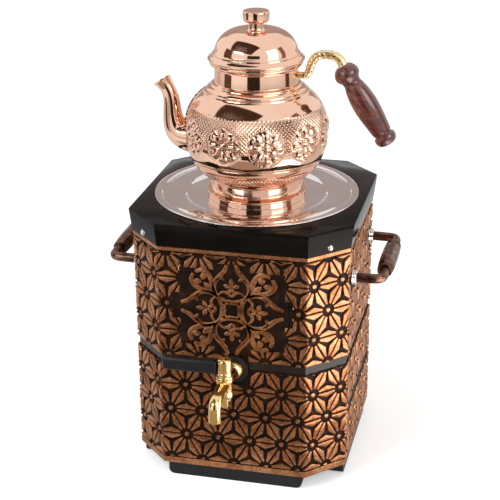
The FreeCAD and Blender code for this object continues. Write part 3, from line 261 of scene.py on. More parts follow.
net = {"pitch": 0.78, "depth": 0.0009}        # turns per millimetre, metres
materials = {}


def makeMaterials():
    for name, values in finish.items():
        materials[name] = metalMaterial(name, **values)
    for name, values in gloss.items():
        materials[name] = glossBlack(name, **values)
    for make in (landCopper, darkPatina, chasedCopper, lacquerWood):
        materials[make.__name__] = make()
    print("materials:", len(materials))


nodeFinish = {
    "darkPatina": "lower_casing upper_casing",
    "bandBlack": "seam_band",
    "plastic": "front_foot rear_foot left_foot right_foot left_vent right_vent tap_washer tap_lever"
               " power_inlet switch_housing rocker_switch",
    "brass": "tap_body tap_plug tap_nut plug_nut element_nuts",
    "stainless": "water_tank heating_element",
    "silicone": "tap_seal element_seals element_leads",
    "steel": "base_pan foot_screws lever_pin thermostat handle_nuts knob_screw",
    "chrome": "collar_screws handle_ferrules",
}


def dressNodes():
    for look, names in nodeFinish.items():
        for name in names.split():
            slots = nodes[name].material_slots
            for slot in slots:
                slot.material = materials[look]
            if not slots:
                nodes[name].data.materials.append(materials[look])
    print("nodes dressed")


# Mesh helpers: every piece is built in millimetres and ends in metres at the origin
def finishPiece(mesh, name, look, body, replaced, smooth):
    data = bpy.data.meshes.new(name)
    mesh.to_mesh(data)
    mesh.free()
    data.transform(Matrix.Scale(mm, 4))
    data.polygons.foreach_set("use_smooth", [True] * len(data.polygons))
    data.set_sharp_from_angle(angle=math.radians(smooth))
    data.materials.append(materials[look])
    piece = newObject(name, data)
    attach(piece, body)
    if replaced:
        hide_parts(*replaced)


def facesOut(mesh):
    bmesh.ops.recalc_face_normals(mesh, faces=mesh.faces)


def moveMesh(mesh, way):
    bmesh.ops.translate(mesh, verts=mesh.verts, vec=way)


def everything(mesh):
    return mesh.verts[:] + mesh.edges[:] + mesh.faces[:]


def dropFaces(mesh, unwanted):
    doomed = [item for item in mesh.faces if unwanted(item.calc_center_median())]
    bmesh.ops.delete(mesh, geom=doomed, context="FACES")


# A profile is (radius, height) points; a third number rounds that corner
def roundedProfile(points, segments=4):
    out = []
    count = len(points)
    for index, point in enumerate(points):
        here = Vector(point[:2])
        if len(point) < 3 or index in (0, count - 1):
            out.append(here)
            continue
        before = Vector(points[index - 1][:2]) - here
        after = Vector(points[index + 1][:2]) - here
        reach = min(point[2], before.length * 0.48, after.length * 0.48)
        start = here + before.normalized() * reach
        end = here + after.normalized() * reach
        for step in range(segments + 1):
            share = step / segments
            out.append(start * (1 - share) ** 2 + here * 2 * share * (1 - share) + end * share ** 2)
    return out


def arcBetween(start, end, sag, steps=14):
    a, b = Vector(start), Vector(end)
    chord = b - a
    side = Vector((chord.y, -chord.x)).normalized()
    radius = chord.length ** 2 / (8 * abs(sag)) + abs(sag) / 2
    centre = (a + b) / 2 + side * (sag - math.copysign(radius, sag))
    first = a - centre
    total = 2 * math.asin(min(1.0, chord.length / 2 / radius)) * math.copysign(1, sag)
    return [centre + Matrix.Rotation(total * (step / steps), 2) @ first for step in range(1, steps)]


def spinProfile(points, steps):
    mesh = bmesh.new()
    verts = [mesh.verts.new((point[0], 0, point[1])) for point in points]
    edges = [mesh.edges.new(pair) for pair in zip(verts, verts[1:])]
    bmesh.ops.spin(mesh, geom=verts + edges, cent=(0, 0, 0), axis=(0, 0, 1), dvec=(0, 0, 0),
                   angle=math.tau, steps=steps, use_merge=True)
    bmesh.ops.remove_doubles(mesh, verts=mesh.verts, dist=0.002)
    facesOut(mesh)
    return mesh


def turned(points, steps, segments=4):
    return spinProfile(roundedProfile(points, segments), steps)


def turnMesh(mesh, angle, axis):
    turn = Matrix.Rotation(math.radians(angle), 3, axis)
    bmesh.ops.rotate(mesh, verts=mesh.verts, cent=(0, 0, 0), matrix=turn)


def joinInto(target, other):
    data = bpy.data.meshes.new("joining")
    other.to_mesh(data)
    other.free()
    target.from_mesh(data)
    bpy.data.meshes.remove(data)


# A round bar whose thickness follows its points: (x, y, z, radius)
def sweptBar(points, order=3, resolution=8, ring=6, caps=True):
    curve = bpy.data.curves.new("bar", "CURVE")
    curve.dimensions = "3D"
    curve.bevel_depth = 1.0
    curve.bevel_resolution = ring
    curve.use_fill_caps = caps
    curve.resolution_u = resolution
    spline = curve.splines.new("NURBS")
    spline.points.add(len(points) - 1)
    for target, point in zip(spline.points, points):
        target.co = (*point[:3], 1.0)
        target.radius = point[3]
    spline.order_u = order
    spline.use_endpoint_u = True
    spline.use_smooth = True
    holder = bpy.data.objects.new("bar", curve)
    data = bpy.data.meshes.new_from_object(holder)
    bpy.data.objects.remove(holder)
    bpy.data.curves.remove(curve)
    mesh = bmesh.new()
    mesh.from_mesh(data)
    bpy.data.meshes.remove(data)
    bmesh.ops.remove_doubles(mesh, verts=mesh.verts, dist=0.002)
    facesOut(mesh)
    return mesh


def boxMesh(size, centre, bevel, segments=3):
    mesh = bmesh.new()
    bmesh.ops.create_cube(mesh, size=1.0)
    bmesh.ops.scale(mesh, verts=mesh.verts, vec=size)
    moveMesh(mesh, centre)
    bmesh.ops.bevel(mesh, geom=mesh.edges[:], offset=bevel, affect="EDGES", segments=segments,
                    profile=0.5, material=-1)
    return mesh


# Embossed casing: raised three-cornered lands round twelve-rayed stars, wrapped round the eight faces
pattern = {
    "count": 24, "groove": 1.25, "starGap": 6.4, "dot": 2.5, "relief": 1.0, "slope": 0.5, "crown": 0.3,
    "crownSlope": 1.0, "edge": 7.0, "bead": 4.2, "lowerRise": 7.0, "upperRise": 0.3, "seam": 0.6,
    "sink": 0.15, "clear": 1.0, "washerClear": 1.5, "handleClear": 9.5,
}
tanEighth = math.tan(math.pi / 8)
casingCorners = [Vector(spot) for spot in (
    (-halfFlat, -face), (halfFlat, -face), (face, -halfFlat), (face, halfFlat),
    (halfFlat, face), (-halfFlat, face), (-face, halfFlat), (-face, -halfFlat))]
cornerRuns = [0.0]
for index, corner in enumerate(casingCorners):
    cornerRuns.append(cornerRuns[-1] + (casingCorners[(index + 1) % 8] - corner).length)
perimeter = cornerRuns[-1]


# A place given by its run along the casing's girth, its height and its lift off the face
def wrapPoint(run, height, lift):
    run = min(max(run, 0.0), perimeter)
    index = next(index for index in range(8) if run <= cornerRuns[index + 1] + 1e-6)
    start, end = casingCorners[index], casingCorners[(index + 1) % 8]
    way = (end - start).normalized()
    along = run - cornerRuns[index]
    place = start + way * along + Vector((way.y, -way.x)) * lift
    if along < 1e-4:                                    # on a corner the lift is mitred
        place -= way * lift * tanEighth
    elif cornerRuns[index + 1] - run < 1e-4:
        place += way * lift * tanEighth
    return Vector((place.x, place.y, height))


# One land: two corners by the stars at a and b, and a third by the middle of their triangle
def landCorners(a, b, middle):
    ab = (b - a).normalized()
    am = (middle - a).normalized()
    bm = (middle - b).normalized()
    gap, groove = pattern["starGap"], pattern["groove"]
    inward = (middle - (a + b) / 2).normalized()
    spread = gap * math.tan(math.radians(15)) - groove * 0.5
    tipA = a + (ab + am).normalized() * gap
    tipB = b + (bm - ab).normalized() * gap
    asideA = (am - ab).normalized() * spread
    asideB = (bm + ab).normalized() * spread
    apex = middle - inward * groove * 1.9
    base = (a + b) / 2 + inward * groove * 0.5
    return [tipA - asideA, base, tipB - asideB, tipB + asideB, apex, tipA + asideA]


# Star centres in staggered rows, with the triangles between them
def starLattice(low, high, rowBase):
    stretch = perimeter / pattern["count"]
    rise = stretch * math.sqrt(3) / 2
    rows = range(-2, int((high - low) / rise) + 3)
    points = {}
    for row in rows:
        for column in range(-4, pattern["count"] + 3):
            run = halfFlat + (column + row % 2 / 2) * stretch
            points[(row, column)] = Vector((run, rowBase + row * rise))
    triangles = []
    for row in rows[:-1]:
        for column in range(-4, pattern["count"] + 1):
            here, there = points[(row, column)], points[(row, column + 1)]
            above = points[(row + 1, column + row % 2)]
            beyond = points[(row + 1, column + row % 2 + 1)]
            triangles += [(here, there, above), (there, beyond, above)]
    return points.values(), triangles


def cutPlane(mesh, place, normal, clear=False, geometry=None):
    if geometry is None:
        geometry = everything(mesh)
    bmesh.ops.bisect_plane(mesh, geom=geometry, plane_co=place, plane_no=normal, clear_outer=clear)


def splitAndTrim(mesh, low, high):
    for place, normal in (((0, low, 0), (0, -1, 0)), ((0, high, 0), (0, 1, 0)), ((0, 0, 0), (-1, 0, 0)),
                          ((perimeter, 0, 0), (1, 0, 0))):
        cutPlane(mesh, place, normal, True)
    for run in cornerRuns[1:-1]:
        cutPlane(mesh, (run, 0, 0), (1, 0, 0))


def clearWindows(mesh, boxes, reach=40.0):
    for low, high in boxes:
        for corner, normal in ((low, (1, 0, 0)), (low, (0, 1, 0)), (high, (1, 0, 0)), (high, (0, 1, 0))):
            near = {part for item in mesh.faces
                    if low[0] - reach < item.calc_center_median().x < high[0] + reach
                    for part in (item, *item.verts, *item.edges)}
            cutPlane(mesh, (*corner, 0), normal, False, list(near))
    dropFaces(mesh, lambda spot: any(low[0] < spot.x < high[0] and low[1] < spot.y < high[1]
                                     for low, high in boxes))


def roundWindows(mesh, spots):
    dropFaces(mesh, lambda spot: any((spot - Vector((x, y, 0))).length < radius for x, y, radius in spots))


# Flat faces become raised lands with sloping sides and a slight crown
def raiseIslands(mesh, relief, slope, crown, crownSlope):
    bmesh.ops.dissolve_degenerate(mesh, dist=0.02, edges=mesh.edges)
    facesOut(mesh)
    upside = [item for item in mesh.faces if item.normal.z < 0]
    bmesh.ops.reverse_faces(mesh, faces=upside)
    tops = mesh.faces[:]
    for inset, lift in ((slope, relief), (crownSlope, crown)):
        bmesh.ops.inset_region(mesh, faces=tops, thickness=inset, depth=lift, use_boundary=True,
                               use_even_offset=False)


def octagonRing(mesh, height, lift):
    return [mesh.verts.new(wrapPoint(cornerRuns[index], height, lift)) for index in range(8)]


def joinRings(mesh, rings):
    for ringA, ringB in zip(rings, rings[1:]):
        for index in range(8):
            after = (index + 1) % 8
            mesh.faces.new((ringA[index], ringA[after], ringB[after], ringB[index]))


def stripAround(low, high, lift, bevel):
    mesh = bmesh.new()
    levels = ((low, -0.4), (low, lift - bevel), (low + bevel, lift), (high - bevel, lift),
              (high, lift - bevel), (high, -0.4))
    joinRings(mesh, [octagonRing(mesh, height, out) for height, out in levels])
    facesOut(mesh)
    return mesh


def embossedCasing(low, high, rowBase, boxes, spots):
    mesh = bmesh.new()
    dots, triangles = starLattice(low, high, rowBase)
    for a, b, c in triangles:
        middle = (a + b + c) / 3
        for start, end in ((a, b), (b, c), (c, a)):
            corners = landCorners(start, end, middle)
            mesh.faces.new([mesh.verts.new((corner.x, corner.y, 0)) for corner in corners])
    for dot in dots:
        bmesh.ops.create_circle(mesh, cap_ends=True, radius=pattern["dot"], segments=10,
                                matrix=Matrix.Translation((dot.x, dot.y, 0)))
    splitAndTrim(mesh, low, high)
    clearWindows(mesh, boxes)
    roundWindows(mesh, spots)
    raiseIslands(mesh, pattern["relief"], pattern["slope"], pattern["crown"], pattern["crownSlope"])
    sink = pattern["sink"]
    for vert in mesh.verts:
        vert.co = wrapPoint(vert.co.x, vert.co.y, max(vert.co.z - sink, -sink))
    return mesh


def backRun(x):
    return cornerRuns[4] + halfFlat - x


# The plain panel behind the medallion is three overlapping windows: (half width, half height)
panel = {"centre": 186.6, "windows": [(50.0, 39.0), (57.5, 13.0), (15.0, 45.5)]}


def makeCasings():
    base = casingLow.z
    clear, seam, bead = pattern["clear"], pattern["seam"], pattern["bead"]
    low, high = lowHigh("tap_washer")
    washerRadius = (high.x - low.x) / 2 + pattern["washerClear"]
    washerSpot = ((low.x + high.x) / 2 + halfFlat, (low.z + high.z) / 2, washerRadius)
    sideMiddle = (cornerRuns[2] + cornerRuns[3]) / 2, (cornerRuns[6] + cornerRuns[7]) / 2
    low, high = lowHigh("right_vent")
    half = high.y + clear
    boxes = [((middle - half, low.z - clear), (middle + half, high.z + clear)) for middle in sideMiddle]
    for node in ("power_inlet", "switch_housing"):
        low, high = lowHigh(node)
        boxes.append(((backRun(high.x + clear), low.z - clear), (backRun(low.x - clear), high.z + clear)))
    edge = base + pattern["edge"]
    mesh = embossedCasing(edge, bandLow - seam, base + pattern["lowerRise"], boxes, [washerSpot])
    joinInto(mesh, stripAround(base + 0.3, edge - seam, 0.7, 0.3))
    finishPiece(mesh, "lower_embossing", "landCopper", "root", (), 35.0)

    z = panel["centre"]
    boxes = [((halfFlat - wide, z - tall), (halfFlat + wide, z + tall)) for wide, tall in panel["windows"]]
    low, high = lowHigh("right_handle_bow")
    handleZ = (low.z + high.z) / 2
    spots = [washerSpot] + [(middle + end * sideHandle["spread"], handleZ, pattern["handleClear"])
                            for middle in sideMiddle for end in (-1, 1)]
    top = collarLow.z - bead - 2 * seam
    mesh = embossedCasing(bandHigh + seam, top, bandHigh + pattern["upperRise"], boxes, spots)
    joinInto(mesh, stripAround(collarLow.z - bead, collarLow.z - 0.3, 0.8, 0.35))
    finishPiece(mesh, "upper_embossing", "landCopper", "root", (), 35.0)
    print("casings embossed")


# The front medallion: four ogee petals, four corner leaves and palmettes in raised straps
medallion = {
    "strap": 5.4, "fine": 3.4, "relief": 1.8, "slope": 0.4, "crown": 0.3, "crownSlope": 0.6,
    "widen": 1.07, "floor": (106, 92, 0.6), "lobeLeaf": (9.5, 7), "heartLeaf": (13, 6.5),
    "petal": [(-13, 12), (-16.6, 19), (-16.2, 27), (-11.5, 33.5), (-6.8, 39), (-3.9, 46)],
    "closing": [(-13.5, 13), (-7, 9.6), (0, 8.6), (7, 9.6), (13.5, 13)],
    "inner": [(-12.6, 14.6), (-9, 17.8), (-5, 18), (0, 14.6), (5, 18), (9, 17.8), (12.6, 14.6)],
    "hook": [(-15.6, 27.5), (-12.6, 31.5), (-8.6, 31.8), (-7.4, 29.6)],
    "leaf": [(-14, 14.5), (-17.8, 21.5), (-19, 28.5), (-22.6, 35.4), (-28.6, 38.4), (-34.6, 36.2)],
    "lobe": (-26, 37.5), "heart": (-17.5, 17.5), "flower": (0, 22.4), "frame": 7.4, "hole": 5.3,
    "leaves": [(90, 10.4, 5.4), (158, 8.6, 5), (22, 8.6, 5), (238, 7, 4.4), (302, 7, 4.4)],
    "leafOutline": [(0, 0), (0.3, 0.38), (0.62, 0.5), (0.85, 0.3), (1, 0), (0.85, -0.3), (0.62, -0.5),
                    (0.3, -0.38)],
}


# A smooth line through the points: each stretch follows its four neighbours
def smoothLine(points, steps=5):
    spots = [Vector((*point, 0)) for point in points]
    padded = [spots[0], *spots, spots[-1]]
    out = []
    for before, here, there, after in zip(padded, padded[1:], padded[2:], padded[3:]):
        pull = there - before
        bend = 2 * before - 5 * here + 4 * there - after
        twist = 3 * here - before - 3 * there + after
        for step in range(steps):
            t = step / steps
            out.append((2 * here + pull * t + bend * t * t + twist * t ** 3) / 2)
    return out + [spots[-1]]


def strap(mesh, points, width, taper=0.35):
    line = smoothLine(points)
    count = len(line)
    rails = []
    for index, spot in enumerate(line):
        ahead = (line[min(index + 1, count - 1)] - line[max(index - 1, 0)]).normalized()
        side = Vector((-ahead.y, ahead.x, 0))
        share = index / (count - 1)
        half = width / 2 * (1 - taper * abs(2 * share - 1) ** 3)
        rails.append((mesh.verts.new(spot + side * half), mesh.verts.new(spot - side * half)))
    for (a, b), (c, d) in zip(rails, rails[1:]):
        mesh.faces.new((a, b, d, c))


def leafShape(mesh, centre, angle, length, width):
    way = Vector((math.cos(math.radians(angle)), math.sin(math.radians(angle)), 0))
    side = Vector((-way.y, way.x, 0))
    root = Vector((*centre, 0))
    mesh.faces.new([mesh.verts.new(root + way * length * along + side * width * across)
                    for along, across in medallion["leafOutline"]])


def makeMedallion():
    mesh = bmesh.new()
    wide, fine = medallion["strap"], medallion["fine"]
    x, y = medallion["lobe"]
    leaf = medallion["leaf"]
    twin = [(-up, -across) for across, up in leaf]
    for quarter in range(4):
        part = bmesh.new()
        for mirror in (1, -1):
            for key, width in (("petal", wide), ("hook", fine)):
                strap(part, [(across * mirror, up) for across, up in medallion[key]], width)
        strap(part, medallion["closing"], wide * 0.8, 0.2)
        strap(part, medallion["inner"], fine)
        for angle, length, width in medallion["leaves"]:
            leafShape(part, medallion["flower"], angle, length, width)
        for line, root, angle in ((leaf, (x, y), 262), (twin, (-y, -x), 8)):
            strap(part, line, wide)
            leafShape(part, root, angle, *medallion["lobeLeaf"])
        leafShape(part, medallion["heart"], 135, *medallion["heartLeaf"])
        turnMesh(part, 90 * quarter, "Z")
        if quarter % 2:
            bmesh.ops.scale(part, verts=part.verts, vec=(medallion["widen"], 1.0, 1.0))
        joinInto(mesh, part)
    square = medallion["frame"]
    for across, up in ((-1, 0), (0, -1), (1, 0), (0, 1)):
        middle = Vector((across, up)) * square
        half = Vector((up, across)) * (square + 2.0)
        strap(mesh, [middle - half, middle + half], 2 * (square - medallion["hole"]), 0.0)
    raiseIslands(mesh, medallion["relief"], medallion["slope"], medallion["crown"], medallion["crownSlope"])
    floor = boxMesh(medallion["floor"], (0, 0, 0.3), 0.2, 1)
    plates = ((mesh, "medallion_relief", "landCopper", 0.3, ()),
              (floor, "medallion_floor", "darkPatina", 0.0, ("front_medallion",)))
    for part, name, look, lift, replaced in plates:
        turnMesh(part, 90, "X")
        moveMesh(part, (0, -face - lift, panel["centre"]))
        facesOut(part)
        finishPiece(part, name, look, "root", replaced, 35.0)
    print("medallion made")


# Glossy collar with softened edges and a round mouth for the lid
collar = {"lap": 1.4, "flare": 4.1, "mouth": 91.0, "plate": 2.0, "soft": 1.1, "inside": 0.05}


def makeCollar():
    mesh = bmesh.new()
    low, high = collarLow.z, collarHigh.z
    soft, flare, inside = collar["soft"], collar["flare"], collar["inside"]
    under = high - collar["plate"]
    levels = [(under, inside), (low, inside), (low, collar["lap"] - 0.3), (low + 0.4, collar["lap"]),
              (high - soft, flare - 0.15), (high - soft * 0.3, flare - soft * 0.35), (high, flare - soft)]
    rings = [octagonRing(mesh, height, outset) for height, outset in levels]
    joinRings(mesh, rings)
    mouths = []
    for outer, height in ((rings[-1], high), (rings[0], under)):
        outerEdges = [mesh.edges.get((outer[index], outer[(index + 1) % 8])) for index in range(8)]
        circle = bmesh.ops.create_circle(mesh, cap_ends=False, radius=collar["mouth"], segments=96,
                                         matrix=Matrix.Translation((0, 0, height)))["verts"]
        mouths.append({edge for vert in circle for edge in vert.link_edges})
        bmesh.ops.triangle_fill(mesh, edges=outerEdges + list(mouths[-1]), use_beauty=True)
    bmesh.ops.bridge_loops(mesh, edges=list(mouths[1] | mouths[0]))
    caps = [item for item in mesh.faces if item.calc_center_median().xy.length < collar["mouth"] - 4
            and abs(item.normal.z) > 0.5]
    bmesh.ops.delete(mesh, geom=caps, context="FACES")
    facesOut(mesh)
    finishPiece(mesh, "collar_moulding", "enamel", "root", ("top_collar",), 30.0)
    print("collar made")


# Lift-off lid of rolled stainless sheet
lid = {
    "rimOut": 99.4, "rimIn": 92.8, "groove": 90.6, "well": 70.0, "wellIn": 66.5, "hole": 30.0,
    "rise": 1.6, "plug": 9.0,
}


def makeLid():
    top, floor = collarHigh.z, potFoot
    plug = collar["mouth"] - 0.7
    crest = top + lid["rise"]
    below = top - lid["plug"]
    hole, well, wellIn = lid["hole"], lid["well"], lid["wellIn"]
    groove, rimIn, rimOut = lid["groove"], lid["rimIn"], lid["rimOut"]
    mesh = turned([
        (hole, floor - 1.0), (hole, floor, 0.4), (wellIn, floor, 1.5), (well, top + 0.3, 1.6),
        (well + 8.0, top + 1.5, 5.0), (groove - 4.0, top + 0.9, 3.0), (groove - 0.8, top - 0.3, 0.7),
        (groove + 0.6, top - 0.3, 0.5), (rimIn, crest - 0.3, 0.7), (rimIn + 2.2, crest, 1.4),
        (rimOut - 2.0, crest, 1.6), (rimOut, top + 0.9, 0.9), (rimOut - 0.5, top + 0.02, 0.3),
        (plug, top + 0.02), (plug, below, 0.3), (plug - 1.0, below, 0.3), (plug - 1.0, top - 1.3, 0.5),
        (well + 2.0, top - 1.3, 1.0), (wellIn + 1.0, floor - 1.0, 1.0), (hole, floor - 1.0)], 192, 5)
    finishPiece(mesh, "lid_sheet", "stainless", "lid", ("lid_disc",), 40.0)
    print("lid made")


# Teapot: spun copper, chased with ten rosettes and a net round the belly
pot = {
    "foot": 47.6, "footHeight": 7.0, "waist": 42.3, "waistHeight": 10.5, "belly": 66.4, "lower": 43.0,
    "upper": 43.4, "shoulder": 50.0, "neck": 39.6, "neckStep": 9.8, "neckHeight": 14.8, "rim": 44.3,
    "wall": 1.2, "sagLow": 8.2, "sagHigh": 7.5, "steps": 400,
}
waistZ = potFoot + pot["footHeight"]
baseZ = waistZ + pot["waistHeight"]
bellyZ = baseZ + pot["lower"]
shoulderZ = bellyZ + pot["upper"]
neckZ = shoulderZ + pot["neckStep"]
rimZ = neckZ + pot["neckHeight"]
rosette = {
    "count": 10, "first": 20.7, "height": 331.5, "petals": 8, "petalReach": 10.2, "petalLong": 5.9,
    "petalWide": 3.7, "relief": 2.3, "heart": 3.6, "field": 17.6, "sink": 0.6,
    "netLow": 290.0, "netHigh": 357.0, "bandTop": 297.5,
}


def bellyArcs():
    low = arcBetween((pot["waist"], baseZ + 1.2), (pot["belly"], bellyZ), pot["sagLow"], 42)
    high = arcBetween((pot["belly"], bellyZ), (pot["shoulder"], shoulderZ), pot["sagHigh"], 36)
    return low + [Vector((pot["belly"], bellyZ))] + high


def potOutline():
    foot, narrow, wide, throat, lip = [pot[key] for key in ("foot", "waist", "shoulder", "neck", "rim")]
    lower = roundedProfile([
        (foot - 1.2, potFoot), (foot, potFoot, 0.4), (foot - 0.3, waistZ - 2.2, 0.4),
        (foot + 0.6, waistZ - 1.6, 0.7), (foot + 0.6, waistZ - 0.2, 0.7), (narrow + 1.6, waistZ + 0.9, 1.2),
        (narrow, waistZ + 2.4, 1.0), (narrow, baseZ - 0.2, 0.5), (narrow + 0.2, baseZ + 1.2)])
    upper = roundedProfile([
        (wide, shoulderZ), (wide - 0.4, shoulderZ + 1.6, 0.8), (wide - 2.4, shoulderZ + 2.4, 0.5),
        (wide - 2.6, shoulderZ + 3.6, 0.5), (wide - 4.4, shoulderZ + 5.2, 1.2),
        (throat + 3.6, neckZ - 3.2, 0.5), (throat + 2.9, neckZ - 1.6, 0.9), (throat, neckZ - 0.2, 0.8),
        (throat, rimZ - 0.4, 1.2), (lip - 0.8, rimZ + 1.4, 1.2), (lip, rimZ + 2.6, 0.9),
        (lip, potTop - 0.6, 0.9), (lip - 2.2, potTop, 0.7), (throat - 1.0, potTop - 1.4, 0.5),
        (throat - 1.2, neckZ)], 5)
    broad = (pot["belly"] - 1.4, bellyZ)
    high = (wide - 1.5, shoulderZ - 1.0)
    low = (narrow - 1.2, baseZ + 2.4)
    inner = [(throat - pot["wall"], neckZ - 1.0), high]
    inner += reversed(arcBetween(broad, high, pot["sagHigh"], 12))
    inner.append(broad)
    inner += reversed(arcBetween(low, broad, pot["sagLow"], 12))
    inner += [low, (0.0, baseZ + 1.4)]
    under = [(0.0, baseZ), (narrow - 1.3, baseZ - 0.1), (narrow - 1.3, waistZ + 2.0),
             (foot - 1.6, waistZ - 1.2), (foot - 1.2, potFoot)]
    return lower + bellyArcs() + upper + inner + under


def bellyLine():
    return ([Vector((pot["waist"], baseZ))] + bellyArcs()
            + [Vector((pot["shoulder"], shoulderZ)), Vector((pot["neck"] + 3, neckZ - 1)),
               Vector((pot["neck"], neckZ + 30))])


def bellyRadius(line, height):
    for a, b in zip(line, line[1:]):
        if a.y <= height <= b.y:
            return a.x + (b.x - a.x) * (height - a.y) / max(b.y - a.y, 1e-6)
    return line[0].x if height < line[0].y else line[-1].x


def rosetteRelief(angle, height):
    step = 360.0 / rosette["count"]
    turn = math.degrees(angle) + 90.0 - rosette["first"]
    across = math.radians((turn + step / 2) % step - step / 2) * pot["belly"]
    up = height - rosette["height"]
    reach = math.hypot(across, up)
    if reach > rosette["field"]:
        return 0.0, reach
    heart = max(0.0, 1 - (reach / rosette["heart"]) ** 2)
    best = math.sqrt(heart) * rosette["relief"] * 0.8
    slot = math.tau / rosette["petals"]
    bearing = math.atan2(up, across)
    away = bearing - round(bearing / slot) * slot
    along = (reach * math.cos(away) - rosette["petalReach"]) / rosette["petalLong"]
    wide = rosette["petalWide"] * (1 + 0.25 * along)
    dome = 1 - along ** 2 - (reach * math.sin(away) / wide) ** 2
    if dome > 0:
        best = max(best, math.sqrt(dome) * rosette["relief"])
    return best, reach


def makeTeapotBody():
    mesh = spinProfile(potOutline(), pot["steps"])
    line = bellyLine()
    uv = mesh.loops.layers.uv.new("around")
    netLayer = mesh.verts.layers.float.new("net")
    low, high, field = rosette["netLow"], rosette["netHigh"], rosette["field"]
    for vert in mesh.verts:
        x, y, z = vert.co
        radius = math.hypot(x, y)
        if not low - 1 < z < high + 1 or radius < bellyRadius(line, z) - 0.6:
            continue
        relief, reach = rosetteRelief(math.atan2(y, x), z)
        edge = min(max((z - low) / 2.0, 0.0), 1.0) * min(max((high - z) / 2.0, 0.0), 1.0)
        plain = rosette["bandTop"] < z < rosette["height"] - 6.0 and reach > field
        vert[netLayer] = 0.0 if reach < field or plain else edge
        grow = relief - rosette["sink"] if reach < field else 0.0
        vert.co.x += x / radius * grow
        vert.co.y += y / radius * grow
    for item in mesh.faces:
        for loop in item.loops:
            spot = loop.vert.co
            loop[uv].uv = ((math.atan2(spot.y, spot.x) % math.tau) * pot["belly"], spot.z)
        spread = [loop[uv].uv.x for loop in item.loops]
        if max(spread) - min(spread) > pot["belly"]:        # this face crosses the seam of the map
            for loop in item.loops:
                if loop[uv].uv.x < pot["belly"]:
                    loop[uv].uv.x += math.tau * pot["belly"]
    facesOut(mesh)
    finishPiece(mesh, "teapot_shell", "chasedCopper", "teapot", ("teapot_body",), 42.0)
    print("teapot body made")


# Pouring spout: (x, z, radius) stations up its curved middle line, with a pointed plate at its root
pourSpout = {
    "stations": [(-52, 318, 19), (-62, 319, 17), (-73, 319.5, 14.6), (-81, 326, 11.8), (-83.5, 340, 9.2),
                 (-83.6, 353, 7.9), (-86, 364, 6.9), (-91, 371.5, 7.2), (-97.5, 379.5, 11.5)],
    "cutPoint": (-93.2, 0, 373.6), "cutNormal": (-0.55, 0, 0.84), "wall": 1,
    "plateLow": 291, "plateHigh": 372, "plateWide": 25, "plateMiddle": 322,
    "plateThick": 0.9,
}


def makePourSpout():
    stations = [(x, 0, z, radius) for x, z, radius in pourSpout["stations"]]
    mesh = sweptBar(stations, 4, 10, 10, False)
    cutPlane(mesh, pourSpout["cutPoint"], pourSpout["cutNormal"], True)
    bmesh.ops.solidify(mesh, geom=mesh.faces[:], thickness=pourSpout["wall"])
    facesOut(mesh)
    low, tall = pourSpout["plateLow"], pourSpout["plateHigh"] - pourSpout["plateLow"]
    middle = (pourSpout["plateMiddle"] - low) / tall

    def outsidePlate(spot):
        share = (spot.y + 1) / 2
        local = share / middle if share < middle else (1 - share) / (1 - middle)
        return abs(spot.x) > math.sin(local * math.pi / 2) ** 1.2

    plate = bmesh.new()
    bmesh.ops.create_grid(plate, x_segments=36, y_segments=60, size=1.0)
    dropFaces(plate, outsidePlate)
    line = bellyLine()
    for vert in plate.verts:
        height = low + (vert.co.y + 1) / 2 * tall
        radius = bellyRadius(line, height) + 1.0
        angle = math.pi + vert.co.x * pourSpout["plateWide"] / radius
        vert.co = (radius * math.cos(angle), radius * math.sin(angle), height)
    for _ in range(2):
        rim = [vert for vert in plate.verts if vert.is_boundary]
        bmesh.ops.smooth_vert(plate, verts=rim, factor=0.5, use_axis_x=True, use_axis_y=True,
                              use_axis_z=True)
    bmesh.ops.solidify(plate, geom=plate.faces[:], thickness=pourSpout["plateThick"])
    facesOut(plate)
    joinInto(mesh, plate)
    finishPiece(mesh, "pour_spout", "lightCopper", "teapot", ("teapot_spout",), 40.0)
    print("spout made")


# Handle: hammered brass arm and a turned, lacquered grip
arm = {
    "route": [(47.4, 384.2, 2.4), (49.6, 386.6, 3.6), (51.6, 393, 4), (54.4, 401.5, 4), (61, 406.6, 4),
              (72, 406.6, 4.1), (80, 403, 4.3), (83, 396, 4.4), (86, 390, 4.2)],
    "dent": 0.28, "lug": (9, 6, 5.6), "lugPlace": (43.2, 0, 385.6),
}
wood = {
    "start": (81.5, 0, 396.6), "tilt": 147.5,
    "profile": [(0, 0), (6, 0, 0.8), (9, 2, 2), (12, 7, 3), (12, 11.5, 3), (8.8, 15.5, 2.5),
                (8.2, 19, 1.5), (9.4, 22, 2), (11.2, 30, 5), (12.2, 40, 6), (11.8, 52, 6), (9.6, 70, 4),
                (9.2, 73, 0.8), (8.2, 74.2, 0.5), (8.4, 75.4, 0.5), (10.4, 76.8, 0.8), (10.6, 81, 2),
                (8, 85.2, 2), (3, 86.4, 1.5), (0, 86.4)],
}


def makeHandle():
    mesh = sweptBar([(x, 0, z, radius) for x, z, radius in arm["route"]], 3, 10, 7)
    for vert in mesh.verts:
        ripple = math.sin(vert.co.x * 1.35 + vert.co.z * 1.1 + vert.co.y * 0.6) * arm["dent"]
        vert.co += vert.normal * ripple
    joinInto(mesh, boxMesh(arm["lug"], arm["lugPlace"], 1.2))
    finishPiece(mesh, "handle_arm", "hammeredBrass", "teapot", ("teapot_handle_arm",), 50.0)
    grip = turned(wood["profile"], 64, 5)
    turnMesh(grip, wood["tilt"], "Y")
    moveMesh(grip, wood["start"])
    finishPiece(grip, "wooden_grip", "lacquerWood", "teapot", ("teapot_grip",), 45.0)
    print("teapot handle made")


# Teapot lid and its flat-topped knob
cover = {
    "edge": 45.9, "foot": 40.8, "neck": 7.6, "knob": 12.6, "register": 37.2, "dome": 8.2,
    "knobRise": 8.0,
}


